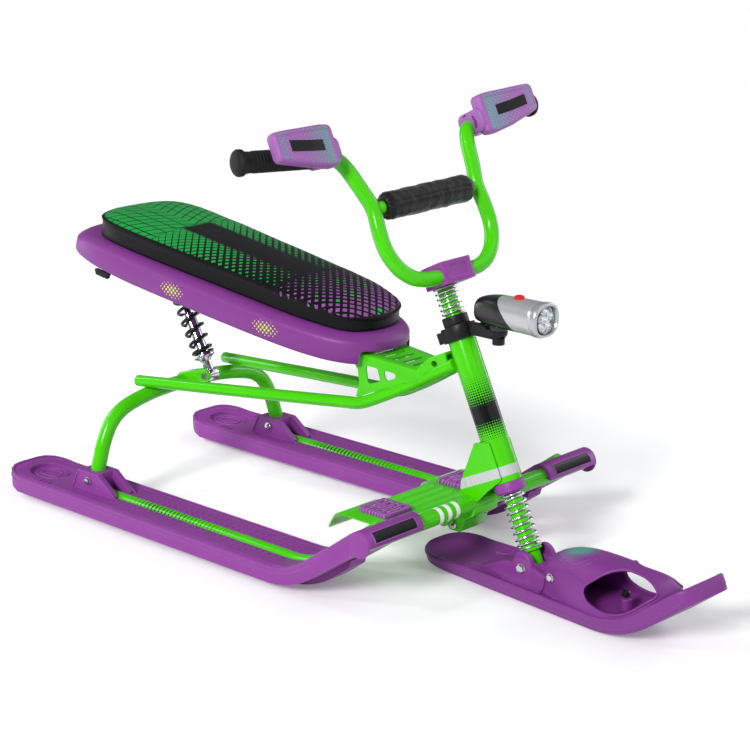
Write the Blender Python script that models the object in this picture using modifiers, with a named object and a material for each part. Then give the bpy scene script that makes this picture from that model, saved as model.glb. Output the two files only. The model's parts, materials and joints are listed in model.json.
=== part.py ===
"""Steering sled: two rear skis, a steered and sprung front ski, a sprung seat and a foot brake.

Metres, +X forward, +Y left, +Z up. The floor is z = 0 and the origin is under the middle of the sled.
The steering stands turned a little to the right, as the sled is stored.
"""
import math

import bmesh
import bpy
from mathutils import Matrix, Vector

# Clearances
seat_gap = 0.0003        # left between pieces that touch
overshoot = 0.004        # how far a cutter runs past the face it cuts
socket_clearance = 0.0004

# Colours as linear red, green, blue, then roughness and metallic
frame_green = ((0.16, 0.74, 0.015), 0.30, 0.0)
ski_purple = ((0.20, 0.045, 0.27), 0.42, 0.0)
chrome_steel = ((0.72, 0.72, 0.72), 0.18, 1.0)
zinc_steel = ((0.55, 0.56, 0.58), 0.35, 1.0)
black_rubber = ((0.015, 0.015, 0.016), 0.70, 0.0)
black_plastic = ((0.020, 0.020, 0.022), 0.45, 0.0)
black_vinyl = ((0.012, 0.012, 0.013), 0.40, 0.0)
black_steel = ((0.018, 0.018, 0.020), 0.35, 0.0)
silver_plastic = ((0.45, 0.45, 0.47), 0.35, 0.2)
mirror_chrome = ((0.90, 0.90, 0.90), 0.08, 1.0)
clear_plastic = ((0.90, 0.94, 0.96), 0.08, 0.0)
signal_red = ((0.55, 0.02, 0.015), 0.40, 0.0)

# Steering axis: where it meets the floor, how far it leans back, how far it stands turned
axis_foot_x = 0.338
rake = math.radians(25.0)
steer_turn = math.radians(-6.0)

# Head tube and its bushes, as heights along the steering axis
head_tube_bottom = 0.169
head_tube_length = 0.234
head_tube_radius = 0.0205
head_tube_wall = 0.0037
bush_sleeve_length = 0.030
lower_collar_length = 0.0157
lower_collar_radius = 0.0222
upper_collar_length = 0.0142
upper_collar_radius = 0.0190

# Fork tube
fork_radius = 0.0125
fork_wall = 0.0020
fork_socket_depth = 0.0276
fork_below_pivot = 0.0125
fork_flange_radius = 0.0170
fork_flange_height = 0.0040
lower_washer_height = 0.0020
upper_washer_height = 0.0020
washer_clearance = 0.0007
spring_washer_radius = 0.0180
lower_spring_length = 0.0802
upper_spring_length = 0.0408
steering_spring_radius = 0.0155
steering_spring_wire = 0.0014
lower_spring_turns = 9
upper_spring_turns = 5.5

# Front ski, measured from its pivot
front_ski_tail = 0.215
front_ski_flat = 0.148
front_ski_tip = 0.345
front_ski_width = 0.1096
front_ski_thickness = 0.025
front_ski_curl_radius = 0.170
front_ski_curl_angle = math.radians(37.0)
front_ski_corner = 0.045
front_pivot_above_wall = 0.0387
front_keel_depth = 0.0030
front_keel_width = 0.032
cheek_gap = 0.0270
cheek_width = 0.0560
cheek_height = 0.0180
cheek_rear = 0.0400
cheek_front = 0.0360
pivot_bolt_radius = 0.0040
rib_block_front = 0.0860
rib_block_width = 0.0310
rib_block_height = 0.0110
cowl_bolt_ahead = 0.0610
cowl_bolt_above = 0.0060
cowl_bolt_radius = 0.0030
cowl_half_at_bolt = 0.0323
cowl_wall = 0.0026
cowl_nut_ahead = 0.1720
cowl_nut_post_height = 0.0140

# Rear skis
rear_ski_spacing = 0.396
rear_ski_width = 0.112
rear_ski_thickness = 0.025
rear_keel_depth = 0.010
rear_keel_width = 0.032
rear_ski_end = -0.585
rear_ski_corner = 0.040
rear_curl_start = 0.030
rear_curl_radius = 0.155
rear_curl_angle = math.radians(36.0)
rear_cap_radius = 0.0200

# Tubes of the frame
cross_tube_x = 0.213
cross_tube_z = 0.112
cross_tube_radius = 0.0125
cross_tube_length = 0.483
runner_tube_radius = 0.0118
arch_x = -0.408
channel_after_arch = 0.022      # from the arch's leg to the start of the runner's channel
arch_tube_radius = 0.0118
arch_top_z = 0.1715
arch_foot_z = 0.030
arch_foot_top_z = 0.070
runner_channel_start = arch_x + channel_after_arch
rail_radius = 0.0092
rail_end_x = -0.425

# Ski boss that takes the foot of the arch
boss_width = 0.042
boss_top = 0.066
boss_bolt_z = 0.051
boss_bolt_radius = 0.0030

# Seat, measured from its hinge in the seat's own tilted frame
seat_hinge_x = -0.005
seat_hinge_z = 0.312
seat_tilt = math.radians(8.0)
pan_bottom = -0.0176
pan_depth = 0.052
pan_wall = 0.0040
pan_front = 0.052
pan_rear = 0.598
cushion_front = 0.027
cushion_rear = 0.553
cushion_side = 0.0205
cushion_crown = 0.0130
hinge_pin_radius = 0.0040
hinge_ear_radius = 0.0090

# Sheet brackets
sheet = 0.0025
bracket_rear_half = 0.0450
bracket_front_half = 0.0350
bracket_neck_half = 0.0235

# Shock absorber between the arch and the seat
shock_eye_x = -0.355
shock_eye_z = 0.191
shock_lean = math.radians(28.7)
shock_length = 0.185
shock_eye_radius = 0.0100
shock_eye_width = 0.0200
shock_bolt_radius = 0.0040
shock_spring_radius = 0.0155
shock_wire = 0.0020
shock_turns = 7.5
shock_seat_radius = 0.0178
shock_body_radius = 0.0100
shock_rod_radius = 0.0050

# Foot brake and tow bracket
brake_pivot_x = 0.185
brake_pivot_z = 0.086
brake_top = 0.0930
brake_pin_radius = 0.0040
brake_half_width = 0.139
brake_lip_x = 0.034
brake_lip_z = 0.062
brake_ridge_half = 0.044
knuckle_radius = 0.0085
knuckle_inner = 0.0325
knuckle_outer = 0.0480
pad_rear = 0.080
pad_front = 0.138
pad_inner = 0.058
pad_outer = 0.116
pad_height = 0.0065
ear_inner = 0.0230
ear_outer = 0.0260
tow_pin_x = 0.188
tow_pin_z = 0.0745
tow_pin_radius = 0.0040
brake_spring_radius = 0.0066
brake_spring_wire = 0.0011
brake_spring_turns = 3.5

# Handlebar, in the steering column's frame: forward, left, up the axis
bar_radius = 0.0110
bar_forward = 0.0260
bar_height = 0.0130          # above the foot of the stem clamp
stem_height = 0.0320
stem_half_width = 0.0300
stem_rear = 0.0180
stem_front = 0.0405
crossbar_height = 0.1155     # above the middle of the bar
crossbar_forward = 0.0215
crossbar_half = 0.1005
crossbar_radius = 0.0090
bar_end_height = 0.0890      # above the crossbar
pad_half_length = 0.0700
pad_radius = 0.0175
grip_start = 0.1580
grip_end = 0.2850
grip_radius = 0.0155
grip_flange_radius = 0.0185
guard_clamp_at = 0.1500
guard_clamp_width = 0.0130

# Lamp on the head tube
lamp_clamp_bottom = 0.3820
lamp_clamp_top = 0.4027
lamp_clamp_wall = 0.0048
lamp_tilt_x = 0.2065
lamp_tilt_z = 0.3670
lamp_swivel_x = 0.2440
lamp_foot_z = 0.3720
lamp_axis_z = 0.4000
lamp_rear = 0.2060
lamp_front = 0.3300
lamp_half_width = 0.0270
lamp_half_height = 0.0235
lamp_wall = 0.0022
lamp_foot_radius = 0.0130
lamp_lens_radius = 0.0195
lamp_bezel_length = 0.0120
lamp_battery_radius = 0.0105
tilt_screw_radius = 0.0025
lamp_button_x = 0.2800
lamp_button_radius = 0.0075


for leftover in list(bpy.data.objects):
    bpy.data.objects.remove(leftover, do_unlink=True)
part_collection = bpy.data.collections.new("steering_sled")
cutter_collection = bpy.data.collections.new("cutters")
bpy.context.scene.collection.children.link(part_collection)
bpy.context.scene.collection.children.link(cutter_collection)


def add_material(obj, finish):
    colour, roughness, metallic = finish
    material = bpy.data.materials.new(obj.name)
    material.use_nodes = True
    shader = material.node_tree.nodes["Principled BSDF"]
    shader.inputs["Base Color"].default_value = (*colour, 1.0)
    shader.inputs["Roughness"].default_value = roughness
    shader.inputs["Metallic"].default_value = metallic
    obj.data.materials.clear()
    obj.data.materials.append(material)


def add_frame(name, parent=None, location=(0, 0, 0), rotation=(0, 0, 0)):
    frame = bpy.data.objects.new(name, None)
    frame.empty_display_size = 0.05
    part_collection.objects.link(frame)
    frame.parent = parent
    frame.location = location
    frame.rotation_euler = rotation
    return frame


def place(obj, parent, finish, location=(0, 0, 0), rotation=(0, 0, 0)):
    """A finish makes a part of the sled; without one the object is a cutter."""
    obj.parent = parent
    obj.location = location
    obj.rotation_euler = rotation
    if finish is None:
        cutter_collection.objects.link(obj)
        obj.hide_render = True
        obj.display_type = 'WIRE'
    else:
        part_collection.objects.link(obj)
        add_material(obj, finish)
    return obj


def shade(obj, angle=35.0):
    obj.data.shade_smooth()
    obj.data.set_sharp_from_angle(angle=math.radians(angle))


def face_outwards(bm):
    bmesh.ops.recalc_face_normals(bm, faces=bm.faces)
    if bm.calc_volume(signed=True) < 0:
        bmesh.ops.reverse_faces(bm, faces=bm.faces)


def from_bmesh(name, bm, parent, finish, location=(0, 0, 0), rotation=(0, 0, 0)):
    face_outwards(bm)
    mesh = bpy.data.meshes.new(name)
    bm.to_mesh(mesh)
    bm.free()
    obj = place(bpy.data.objects.new(name, mesh), parent, finish, location, rotation)
    shade(obj)
    return obj


def block(name, low, high, parent, finish=None):
    bm = bmesh.new()
    bmesh.ops.create_cube(bm, size=1.0)
    low, high = Vector(low), Vector(high)
    for vertex in bm.verts:
        vertex.co = [low[i] + (vertex.co[i] + 0.5) * (high[i] - low[i]) for i in range(3)]
    return from_bmesh(name, bm, parent, finish)


def rod(name, start, end, radius, parent, finish=None, sides=16):
    start, end = Vector(start), Vector(end)
    axis = end - start
    bm = bmesh.new()
    bmesh.ops.create_cone(bm, cap_ends=True, segments=sides, radius1=radius, radius2=radius,
                          depth=axis.length)
    turn = axis.to_track_quat('Z', 'Y').to_matrix().to_4x4()
    bm.transform(Matrix.Translation((start + end) / 2) @ turn)
    return from_bmesh(name, bm, parent, finish)


def turned(name, profile, parent, finish=None, at=(0, 0, 0), along=(0, 0, 1), steps=16, ring=False):
    """Profile points (radius, height) run down the outer side; a ring's come back up the inner side."""
    bm = bmesh.new()
    corners = [bm.verts.new((radius, 0, height)) for radius, height in profile]
    for first, second in zip(corners, corners[1:]):
        bm.edges.new((first, second))
    if ring:
        bm.edges.new((corners[-1], corners[0]))
    mesh = bpy.data.meshes.new(name)
    bm.to_mesh(mesh)
    bm.free()
    obj = bpy.data.objects.new(name, mesh)
    rotation = Vector(along).to_track_quat('Z', 'Y').to_euler()
    place(obj, parent, finish, at, rotation)
    screw = obj.modifiers.new("turn", 'SCREW')
    screw.angle = 2 * math.pi
    screw.steps = steps
    screw.render_steps = steps
    screw.use_merge_vertices = True
    screw.merge_threshold = 0.00001
    screw.use_smooth_shade = True
    return obj


def sleeve(name, bottom, top, outer, inner, parent, finish=None, steps=16):
    profile = [(outer, top), (outer, bottom), (inner, bottom), (inner, top)]
    return turned(name, profile, parent, finish, steps=steps, ring=True)


def curve_to_mesh(curve_object, finish):
    """The curve's caps are loose, so they are welded to its sides."""
    bpy.context.view_layer.update()
    graph = bpy.context.evaluated_depsgraph_get()
    mesh = bpy.data.meshes.new_from_object(curve_object.evaluated_get(graph))
    bm = bmesh.new()
    bm.from_mesh(mesh)
    bmesh.ops.remove_doubles(bm, verts=bm.verts, dist=0.00001)
    face_outwards(bm)
    bm.to_mesh(mesh)
    bm.free()
    name = curve_object.name
    parent = curve_object.parent
    world = curve_object.matrix_world.copy()
    bpy.data.objects.remove(curve_object, do_unlink=True)
    solid = bpy.data.objects.new(name, mesh)
    mesh.name = name
    place(solid, parent, finish)
    bpy.context.view_layer.update()
    solid.matrix_world = world
    shade(solid)
    return solid


def prism(name, outline, thickness, plane, parent, finish=None, centre=0.0, holes=()):
    """A flat outline in plane xy, xz or yz, given thickness across it and centred there."""
    curve = bpy.data.curves.new(name, 'CURVE')
    curve.dimensions = '2D'
    curve.fill_mode = 'BOTH'
    curve.extrude = thickness / 2
    for loop in [outline, *holes]:
        spline = curve.splines.new('POLY')
        spline.points.add(len(loop) - 1)
        spline.use_cyclic_u = True
        for point, corner in zip(spline.points, loop):
            point.co = (corner[0], corner[1], 0.0, 1.0)
    right_angle = math.pi / 2
    rotation = {'xy': (0, 0, 0), 'xz': (right_angle, 0, 0), 'yz': (right_angle, 0, right_angle)}[plane]
    location = {'xy': (0, 0, centre), 'xz': (0, centre, 0), 'yz': (centre, 0, 0)}[plane]
    obj = place(bpy.data.objects.new(name, curve), parent, None, location, rotation)
    return curve_to_mesh(obj, finish)


def tube(name, path, radius, parent, finish=None, level=3, solid=False):
    """A round bar along a path. It stays a curve unless it is to be cut."""
    curve = bpy.data.curves.new(name, 'CURVE')
    curve.dimensions = '3D'
    curve.bevel_depth = radius
    curve.bevel_resolution = level
    curve.use_fill_caps = True
    spline = curve.splines.new('POLY')
    spline.points.add(len(path) - 1)
    for point, place_at in zip(spline.points, path):
        point.co = (*place_at, 1.0)
    spline.use_smooth = True
    obj = bpy.data.objects.new(name, curve)
    if solid:
        return curve_to_mesh(place(obj, parent, None), finish)
    return place(obj, parent, finish)


def loft(name, sections, parent, finish=None, location=(0, 0, 0), rotation=(0, 0, 0), capped=True):
    """A skin over sections with the same number of points."""
    bm = bmesh.new()
    rings = [[bm.verts.new(point) for point in section] for section in sections]
    for lower, upper in zip(rings, rings[1:]):
        for index in range(len(lower)):
            following = (index + 1) % len(lower)
            if capped or following:
                bm.faces.new((lower[index], lower[following], upper[following], upper[index]))
    if capped:
        bm.faces.new(rings[0])
        bm.faces.new(rings[-1])
    return from_bmesh(name, bm, parent, finish, location, rotation)


def boolean(target, other, operation):
    step = target.modifiers.new(operation.lower(), 'BOOLEAN')
    step.operation = operation
    step.object = other
    step.solver = 'EXACT'


def cut(target, *cutters):
    for cutter in cutters:
        boolean(target, cutter, 'DIFFERENCE')


def fuse(target, *others):
    for other in others:
        boolean(target, other, 'UNION')


def keep_inside(target, *others):
    for other in others:
        boolean(target, other, 'INTERSECT')


def round_edges(obj, width, segments=2, angle=40.0):
    bevel = obj.modifiers.new("rounding", 'BEVEL')
    bevel.width = width
    bevel.segments = segments
    bevel.limit_method = 'ANGLE'
    bevel.angle_limit = math.radians(angle)
    return obj


def arc(centre_x, centre_y, radius, start, end, steps):
    """Points of an arc from one angle to another, in degrees."""
    angles = [math.radians(start + (end - start) * step / steps) for step in range(steps + 1)]
    return [(centre_x + radius * math.cos(a), centre_y + radius * math.sin(a)) for a in angles]


def rounded(corners, radius, steps=4):
    """A polygon with its corners turned into arcs."""
    outline = []
    count = len(corners)
    for index in range(count):
        before = Vector(corners[index - 1]).to_2d()
        corner = Vector(corners[index]).to_2d()
        after = Vector(corners[(index + 1) % count]).to_2d()
        back = (before - corner).normalized()
        ahead = (after - corner).normalized()
        half = math.acos(max(-1.0, min(1.0, back.dot(ahead)))) / 2
        reach = min(radius / math.tan(half), (before - corner).length * 0.48,
                    (after - corner).length * 0.48)
        fillet = reach * math.tan(half)
        centre = corner + (back + ahead).normalized() * math.hypot(reach, fillet)
        first = corner + back * reach - centre
        last = corner + ahead * reach - centre
        sweep = first.angle_signed(last)
        for step in range(steps + 1):
            turn = Matrix.Rotation(-sweep * step / steps, 2)
            outline.append(tuple(centre + turn @ first))
    return outline


def smooth_path(points, per_span=6, closed=False):
    """A Catmull-Rom curve through the points."""
    points = [Vector(point) for point in points]
    count = len(points)
    samples = []
    for index in range(count if closed else count - 1):
        if closed:
            a, b, c, d = (points[(index + shift) % count] for shift in (-1, 0, 1, 2))
        else:
            b, c = points[index], points[index + 1]
            a = points[index - 1] if index else b * 2 - c
            d = points[index + 2] if index + 2 < count else c * 2 - b
        for step in range(per_span):
            t = step / per_span
            samples.append(0.5 * ((2 * b) + (c - a) * t + (2 * a - 5 * b + 4 * c - d) * t * t
                                  + (3 * b - a - 3 * c + d) * t ** 3))
    if not closed:
        samples.append(points[-1])
    return samples


def thin_out(path, degrees=5.0):
    """Leaves out points of a path that hardly turn it."""
    kept = [path[0]]
    for here, after in zip(path[1:], path[2:]):
        turn = (here - kept[-1]).angle(after - here)
        if turn > math.radians(degrees) or (here - kept[-1]).length > 0.06:
            kept.append(here)
    kept.append(path[-1])
    return kept


def inset(outline, distance):
    """A closed outline moved inwards along its normals."""
    moved = []
    count = len(outline)
    for index in range(count):
        along = Vector(outline[(index + 1) % count]) - Vector(outline[index - 1])
        normal = Vector((-along.y, along.x)).normalized()
        moved.append(Vector(outline[index]).to_2d() + normal * distance)
    return moved


def coil(name, radius, wire, bottom, top, turns, parent, finish, points_per_turn=8, start=0.0):
    """A helical spring about the parent's Z axis. Its ends run straight for one wire diameter."""
    straight = 2 * wire
    count = round(turns * points_per_turn)
    path = []
    for step in range(count + 1):
        angle = start + 2 * math.pi * step / points_per_turn
        height = bottom + straight + (top - bottom - 2 * straight) * step / count
        path.append(Vector((radius * math.cos(angle), radius * math.sin(angle), height)))
    path.insert(0, Vector((path[0].x, path[0].y, bottom)))
    path.append(Vector((path[-1].x, path[-1].y, top)))
    half_turn = points_per_turn // 2
    gaps = [(path[i] - path[j]).length - 2 * wire
            for i in range(len(path)) for j in range(i + half_turn, len(path))]
    print(f"{name}: least gap to itself {min(gaps) * 1000:.2f} mm")
    return tube(name, path, wire, parent, finish, level=1)


def bolt(name, start, end, shank, parent, finish=zinc_steel, head=1.9, steps=10):
    """A bolt from its head's seat at start to its nut's seat at end, as one turned piece."""
    start, end = Vector(start), Vector(end)
    length = (end - start).length
    head_radius = shank * head
    head_height = shank * 1.1
    low, high = -seat_gap, length + seat_gap
    profile = [(0, high + head_height), (head_radius * 0.9, high + head_height), (head_radius * 0.9, high),
               (shank, high), (shank, low), (head_radius, low), (head_radius, low - head_height * 0.4),
               (0, low - head_height)]
    return turned(name, profile, parent, finish, at=start, along=end - start, steps=steps)


# Lines that several pieces share

def front_ski_offset(depth):
    """Outline of the front ski's curl at a depth above its wall bottom, tail to tip."""
    bottom = -front_pivot_above_wall
    centre_z = bottom + front_ski_curl_radius
    radius = front_ski_curl_radius - depth
    degrees = math.degrees(front_ski_curl_angle)
    curl = arc(front_ski_flat, centre_z, radius, -90.0, -90.0 + degrees, 9)
    rest = (front_ski_tip - curl[-1][0]) / math.cos(front_ski_curl_angle)
    tip = (curl[-1][0] + rest * math.cos(front_ski_curl_angle),
           curl[-1][1] + rest * math.sin(front_ski_curl_angle))
    lift = 0.006
    tail = [(-front_ski_tail, bottom + depth + lift), (-front_ski_tail + 0.020, bottom + depth + lift * 0.35),
            (-front_ski_tail + 0.045, bottom + depth)]
    return tail + curl + [tip]


def front_deck_height(ahead):
    """Height of the front ski's deck above its pivot."""
    deck = front_ski_offset(front_ski_thickness)
    for low, high in zip(deck, deck[1:]):
        if low[0] <= ahead <= high[0]:
            return low[1] + (high[1] - low[1]) * (ahead - low[0]) / (high[0] - low[0])
    return deck[-1][1]


def rear_ski_line(depth, steps=9):
    """Line above the rear ski's wall bottom by a depth: flat, then the curl, then straight to the cap."""
    centre_z = rear_keel_depth + rear_curl_radius
    radius = rear_curl_radius - depth
    degrees = math.degrees(rear_curl_angle)
    curl = arc(rear_curl_start, centre_z, radius, -90.0, -90.0 + degrees, steps)
    forward = Vector((math.cos(rear_curl_angle), math.sin(rear_curl_angle)))
    last = Vector(curl[-1])
    reach = (Vector((cross_tube_x, cross_tube_z)) - last).dot(forward)
    return curl, last, forward, reach


def arch_leg(side):
    """Straight foot of the rear arch: its low end and the point where it leaves the boss."""
    ski_y = side * rear_ski_spacing / 2
    return Vector((arch_x, ski_y, arch_foot_z)), Vector((arch_x, ski_y - side * 0.002, arch_foot_top_z))


def arch_path():
    left = [(0.1925, 0.080), (0.1830, 0.108), (0.1665, 0.136), (0.1400, 0.1545), (0.0950, 0.1655),
            (0.0470, 0.1705)]
    low, high = arch_leg(1)
    half = [high] + [Vector((arch_x, y, z)) for y, z in left]
    top = [Vector((arch_x, 0, arch_top_z))]
    other = [Vector((point.x, -point.y, point.z)) for point in reversed(half)]
    bend = thin_out(smooth_path(half + top + other, 4), 9.0)
    return [low, *bend, Vector((low.x, -low.y, low.z))]


def rail_path(side):
    seat_z = 0.1655 + arch_tube_radius + rail_radius + seat_gap
    points = [(rail_end_x, 0.0955, seat_z), (-0.150, 0.0655, 0.2125), (-0.020, 0.0490, 0.2245),
              (0.020, 0.0440, 0.2295), (0.060, 0.0370, 0.2475), (0.100, 0.0290, 0.2685),
              (0.140, 0.0210, 0.2915), (0.180, 0.0150, 0.3150)]
    return thin_out(smooth_path([Vector((x, side * y, z)) for x, y, z in points], 4), 9.0)


def runner_path(side):
    """Centre of the runner tube: along the channel, round the curl and up to the cross tube."""
    above_wall = runner_tube_radius - 0.0003
    curl, last, forward, reach = rear_ski_line(above_wall)
    y = side * rear_ski_spacing / 2
    end = last + forward * reach
    flat = [(runner_channel_start + seat_gap, rear_keel_depth + above_wall)]
    return [Vector((x, y, z)) for x, z in flat + curl + [tuple(end)]]


def ski_turn():
    """Rotation of the turned front ski about its pivot, against the level frame."""
    lean = Matrix.Rotation(-rake, 3, 'Y')
    return lean @ Matrix.Rotation(steer_turn, 3, 'Z') @ lean.transposed()


def front_pivot_height():
    """The ski's pivot stands so high that the lowest corner of its keel just meets the floor."""
    depth = -front_pivot_above_wall - front_keel_depth
    corners = [(ahead, across, depth) for ahead in (-front_ski_tail + 0.045, front_ski_flat)
               for across in (-front_keel_width / 2, front_keel_width / 2)]
    return -min((ski_turn() @ Vector(corner)).z for corner in corners)


pivot_z = front_pivot_height()
pivot_s = pivot_z / math.cos(rake)
pivot_x = axis_foot_x - pivot_z * math.tan(rake)
front_reach = pivot_x + (ski_turn() @ Vector((front_ski_tip, 0.010, 0.080))).x
rear_reach = seat_hinge_x - pan_rear * math.cos(seat_tilt) + pan_bottom * math.sin(seat_tilt)
middle_x = (front_reach + rear_reach) / 2

# Frames that carry the pieces. Each moving group's frame stands on its joint's axis.
sled = add_frame("sled_frame", None, (-middle_x, 0, 0))
steering_axis = add_frame("steering_axis", sled, (axis_foot_x, 0, 0), (0, -rake, 0))
column = add_frame("steering_column", steering_axis, (0, 0, 0), (0, 0, steer_turn))
front_pivot = add_frame("front_ski_pivot", column, (0, 0, pivot_s), (0, rake, 0))
seat = add_frame("seat_hinge", sled, (seat_hinge_x, 0, seat_hinge_z), (0, seat_tilt, 0))
shock = add_frame("shock_pivot", sled, (shock_eye_x, 0, shock_eye_z), (0, -shock_lean, 0))
brake = add_frame("brake_pivot", sled, (brake_pivot_x, 0, brake_pivot_z))
lamp_tilt = add_frame("lamp_tilt", sled, (lamp_tilt_x, 0, lamp_tilt_z))
lamp_swivel = add_frame("lamp_swivel", lamp_tilt, (lamp_swivel_x - lamp_tilt_x, 0, lamp_foot_z - lamp_tilt_z))

head_tube_top = head_tube_bottom + head_tube_length
lower_collar_bottom = head_tube_bottom - seat_gap - lower_collar_length
upper_collar_top = head_tube_top + seat_gap + upper_collar_length
stem_bottom = upper_collar_top + upper_spring_length + upper_washer_height + washer_clearance
stem_top = stem_bottom + stem_height
fork_top = stem_bottom + fork_socket_depth
bar_level = stem_bottom + bar_height
crossbar_level = bar_level + crossbar_height
bar_end_level = crossbar_level + bar_end_height
flange_top = lower_collar_bottom - lower_spring_length - lower_washer_height - seat_gap
sides = (("right", -1), ("left", 1))


def around_head_tube(name):
    """Cutter that leaves a piece just clear of the head tube."""
    return rod(name, (0, 0, head_tube_bottom - 0.02), (0, 0, head_tube_top + 0.02),
               head_tube_radius + seat_gap, steering_axis, sides=20)


# Frame

def make_head_tube():
    bore = head_tube_radius - head_tube_wall
    sleeve("head_tube", head_tube_bottom, head_tube_top, head_tube_radius, bore, steering_axis,
           frame_green, steps=20)


def make_bushes():
    """Plastic bushes: a collar outside the head tube and a sleeve inside it."""
    outer = head_tube_radius - head_tube_wall - seat_gap
    bore = fork_radius + seat_gap
    low = lower_collar_bottom
    collar_top = head_tube_bottom - seat_gap
    turned("lower_bush", [(outer, collar_top + bush_sleeve_length), (outer, collar_top),
                          (lower_collar_radius - 0.0015, collar_top),
                          (lower_collar_radius, collar_top - 0.002),
                          (lower_collar_radius, low + 0.003), (lower_collar_radius - 0.003, low),
                          (bore, low), (bore, collar_top + bush_sleeve_length)],
           steering_axis, ski_purple, ring=True)
    top = upper_collar_top
    seat_level = head_tube_top + seat_gap
    turned("upper_bush", [(upper_collar_radius - 0.002, top), (upper_collar_radius, top - 0.002),
                          (upper_collar_radius, seat_level), (outer, seat_level),
                          (outer, seat_level - bush_sleeve_length), (bore, seat_level - bush_sleeve_length),
                          (bore, top)],
           steering_axis, black_plastic, ring=True)


def make_cross_tube():
    half = cross_tube_length / 2
    rod("cross_tube", (cross_tube_x, -half, cross_tube_z), (cross_tube_x, half, cross_tube_z),
        cross_tube_radius, sled, frame_green)


def around_cross_tube(name, clearance=seat_gap):
    half = cross_tube_length / 2
    return rod(name, (cross_tube_x, -half, cross_tube_z), (cross_tube_x, half, cross_tube_z),
               cross_tube_radius + clearance, sled)


def make_rear_arch():
    arch = tube("rear_arch", arch_path(), arch_tube_radius, sled, frame_green, solid=True)
    for label, side in sides:
        y = side * rear_ski_spacing / 2
        cut(arch, rod("arch_hole_" + label, (arch_x, y - 0.03, boss_bolt_z), (arch_x, y + 0.03, boss_bolt_z),
                      boss_bolt_radius + seat_gap, sled, sides=10))


def make_seat_rails():
    for label, side in sides:
        rail = tube("seat_rail_" + label, rail_path(side), rail_radius, sled, frame_green, solid=True)
        cut(rail, around_head_tube("rail_end_" + label))


def make_runner_tubes():
    for label, side in sides:
        runner = tube("runner_tube_" + label, runner_path(side), runner_tube_radius, sled, frame_green,
                      solid=True)
        cut(runner, around_cross_tube("runner_end_" + label))


def make_head_gusset():
    """A folded sheet that clasps the foot of the head tube and sits on the cross tube."""
    outline = rounded([(0.2215, 0.206), (0.1975, 0.143), (0.1975, 0.1195), (0.2290, 0.1195),
                       (0.2440, 0.136), (0.2720, 0.161), (0.2480, 0.212)], 0.004, 2)
    gusset = prism("head_gusset", outline, 2 * (head_tube_radius + seat_gap + sheet), 'xz', sled, frame_green)
    pocket = rounded([(0.2245, 0.215), (0.2003, 0.143), (0.2003, 0.090), (0.300, 0.090), (0.300, 0.230)],
                     0.003, 2)
    cut(gusset, prism("gusset_pocket", pocket, 2 * (head_tube_radius + seat_gap), 'xz', sled))
    cut(gusset, around_cross_tube("gusset_seat"), around_head_tube("gusset_clasp"))
    window = rounded([(0.2130, 0.142), (0.2290, 0.142), (0.2330, 0.166), (0.2220, 0.166)], 0.004, 3)
    cut(gusset, prism("gusset_window", window, 0.08, 'xz', sled))


def make_seat_bracket():
    """Slotted sheet bracket: a top plate and two sides that stand on the seat rails."""
    ear = arc(seat_hinge_x, seat_hinge_z, hinge_ear_radius, 250.0, 60.0, 8)
    outline = ear + [(0.0120, 0.3045), (0.1200, 0.2965), (0.1380, 0.3170), (0.1640, 0.3290),
                     (0.1720, 0.3060), (0.1400, 0.2900), (0.1000, 0.2670), (0.0600, 0.2460),
                     (0.0200, 0.2280), (0.0080, 0.2280), (0.0170, 0.2600), (0.0140, 0.2800), (0.0040, 0.2930)]
    bracket = prism("seat_bracket", outline, 0.12, 'xz', sled, frame_green)

    def plan(shrink):
        half = [(-0.030, bracket_rear_half), (0.012, bracket_rear_half), (0.120, bracket_front_half),
                (0.150, bracket_neck_half), (0.190, bracket_neck_half)]
        left = [(x, y - shrink) for x, y in half]
        return left + [(x, -y) for x, y in reversed(left)]

    keep_inside(bracket, prism("bracket_plan", plan(0.0), 0.30, 'xy', sled, centre=0.28))
    hollow_side = [(-0.040, 0.315), (0.005, 0.3020), (0.1190, 0.2935), (0.1380, 0.3140), (0.1600, 0.3250),
                   (0.200, 0.3250), (0.200, 0.200), (-0.040, 0.200)]
    hollow = prism("bracket_hollow", hollow_side, 0.14, 'xz', sled)
    keep_inside(hollow, prism("bracket_hollow_plan", plan(sheet), 0.40, 'xy', sled, centre=0.28))
    cut(bracket, hollow)
    ear_gap = block("bracket_ear_gap", (-0.030, -bracket_rear_half + sheet, 0.285),
                    (0.0115, bracket_rear_half - sheet, 0.340), sled)
    cut(bracket, ear_gap)
    for label, side in sides:
        cut(bracket, tube("bracket_rail_" + label, rail_path(side), rail_radius + seat_gap, sled, solid=True))
    cut(bracket, around_head_tube("bracket_clasp"))
    slot_pitch = 0.0185
    for index in range(5):
        x = 0.0300 + slot_pitch * index
        half = 0.030 - 0.0018 * index
        slot = rounded([(x - 0.0035, -half), (x + 0.0035, -half), (x + 0.0035, half), (x - 0.0035, half)],
                       0.0033, 1)
        cut(bracket, prism(f"bracket_slot_{index + 1}", slot, 0.03, 'xy', sled, centre=0.30))
    openings = (([(0.0280, 0.2880), (0.0500, 0.2870), (0.0560, 0.2680), (0.0330, 0.2600)], "rear"),
                ([(0.0600, 0.2860), (0.0960, 0.2840), (0.0660, 0.2700)], "front"))
    for corners, label in openings:
        cut(bracket, prism("bracket_opening_" + label, rounded(corners, 0.004, 2), 0.16, 'xz', sled))
    cut(bracket, rod("bracket_hole", (0.146, -0.06, 0.309), (0.146, 0.06, 0.309), 0.0045, sled, sides=12))
    cut(bracket, rod("bracket_pin_hole", (seat_hinge_x, -0.08, seat_hinge_z),
                     (seat_hinge_x, 0.08, seat_hinge_z), hinge_pin_radius + seat_gap, sled, sides=12))


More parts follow.
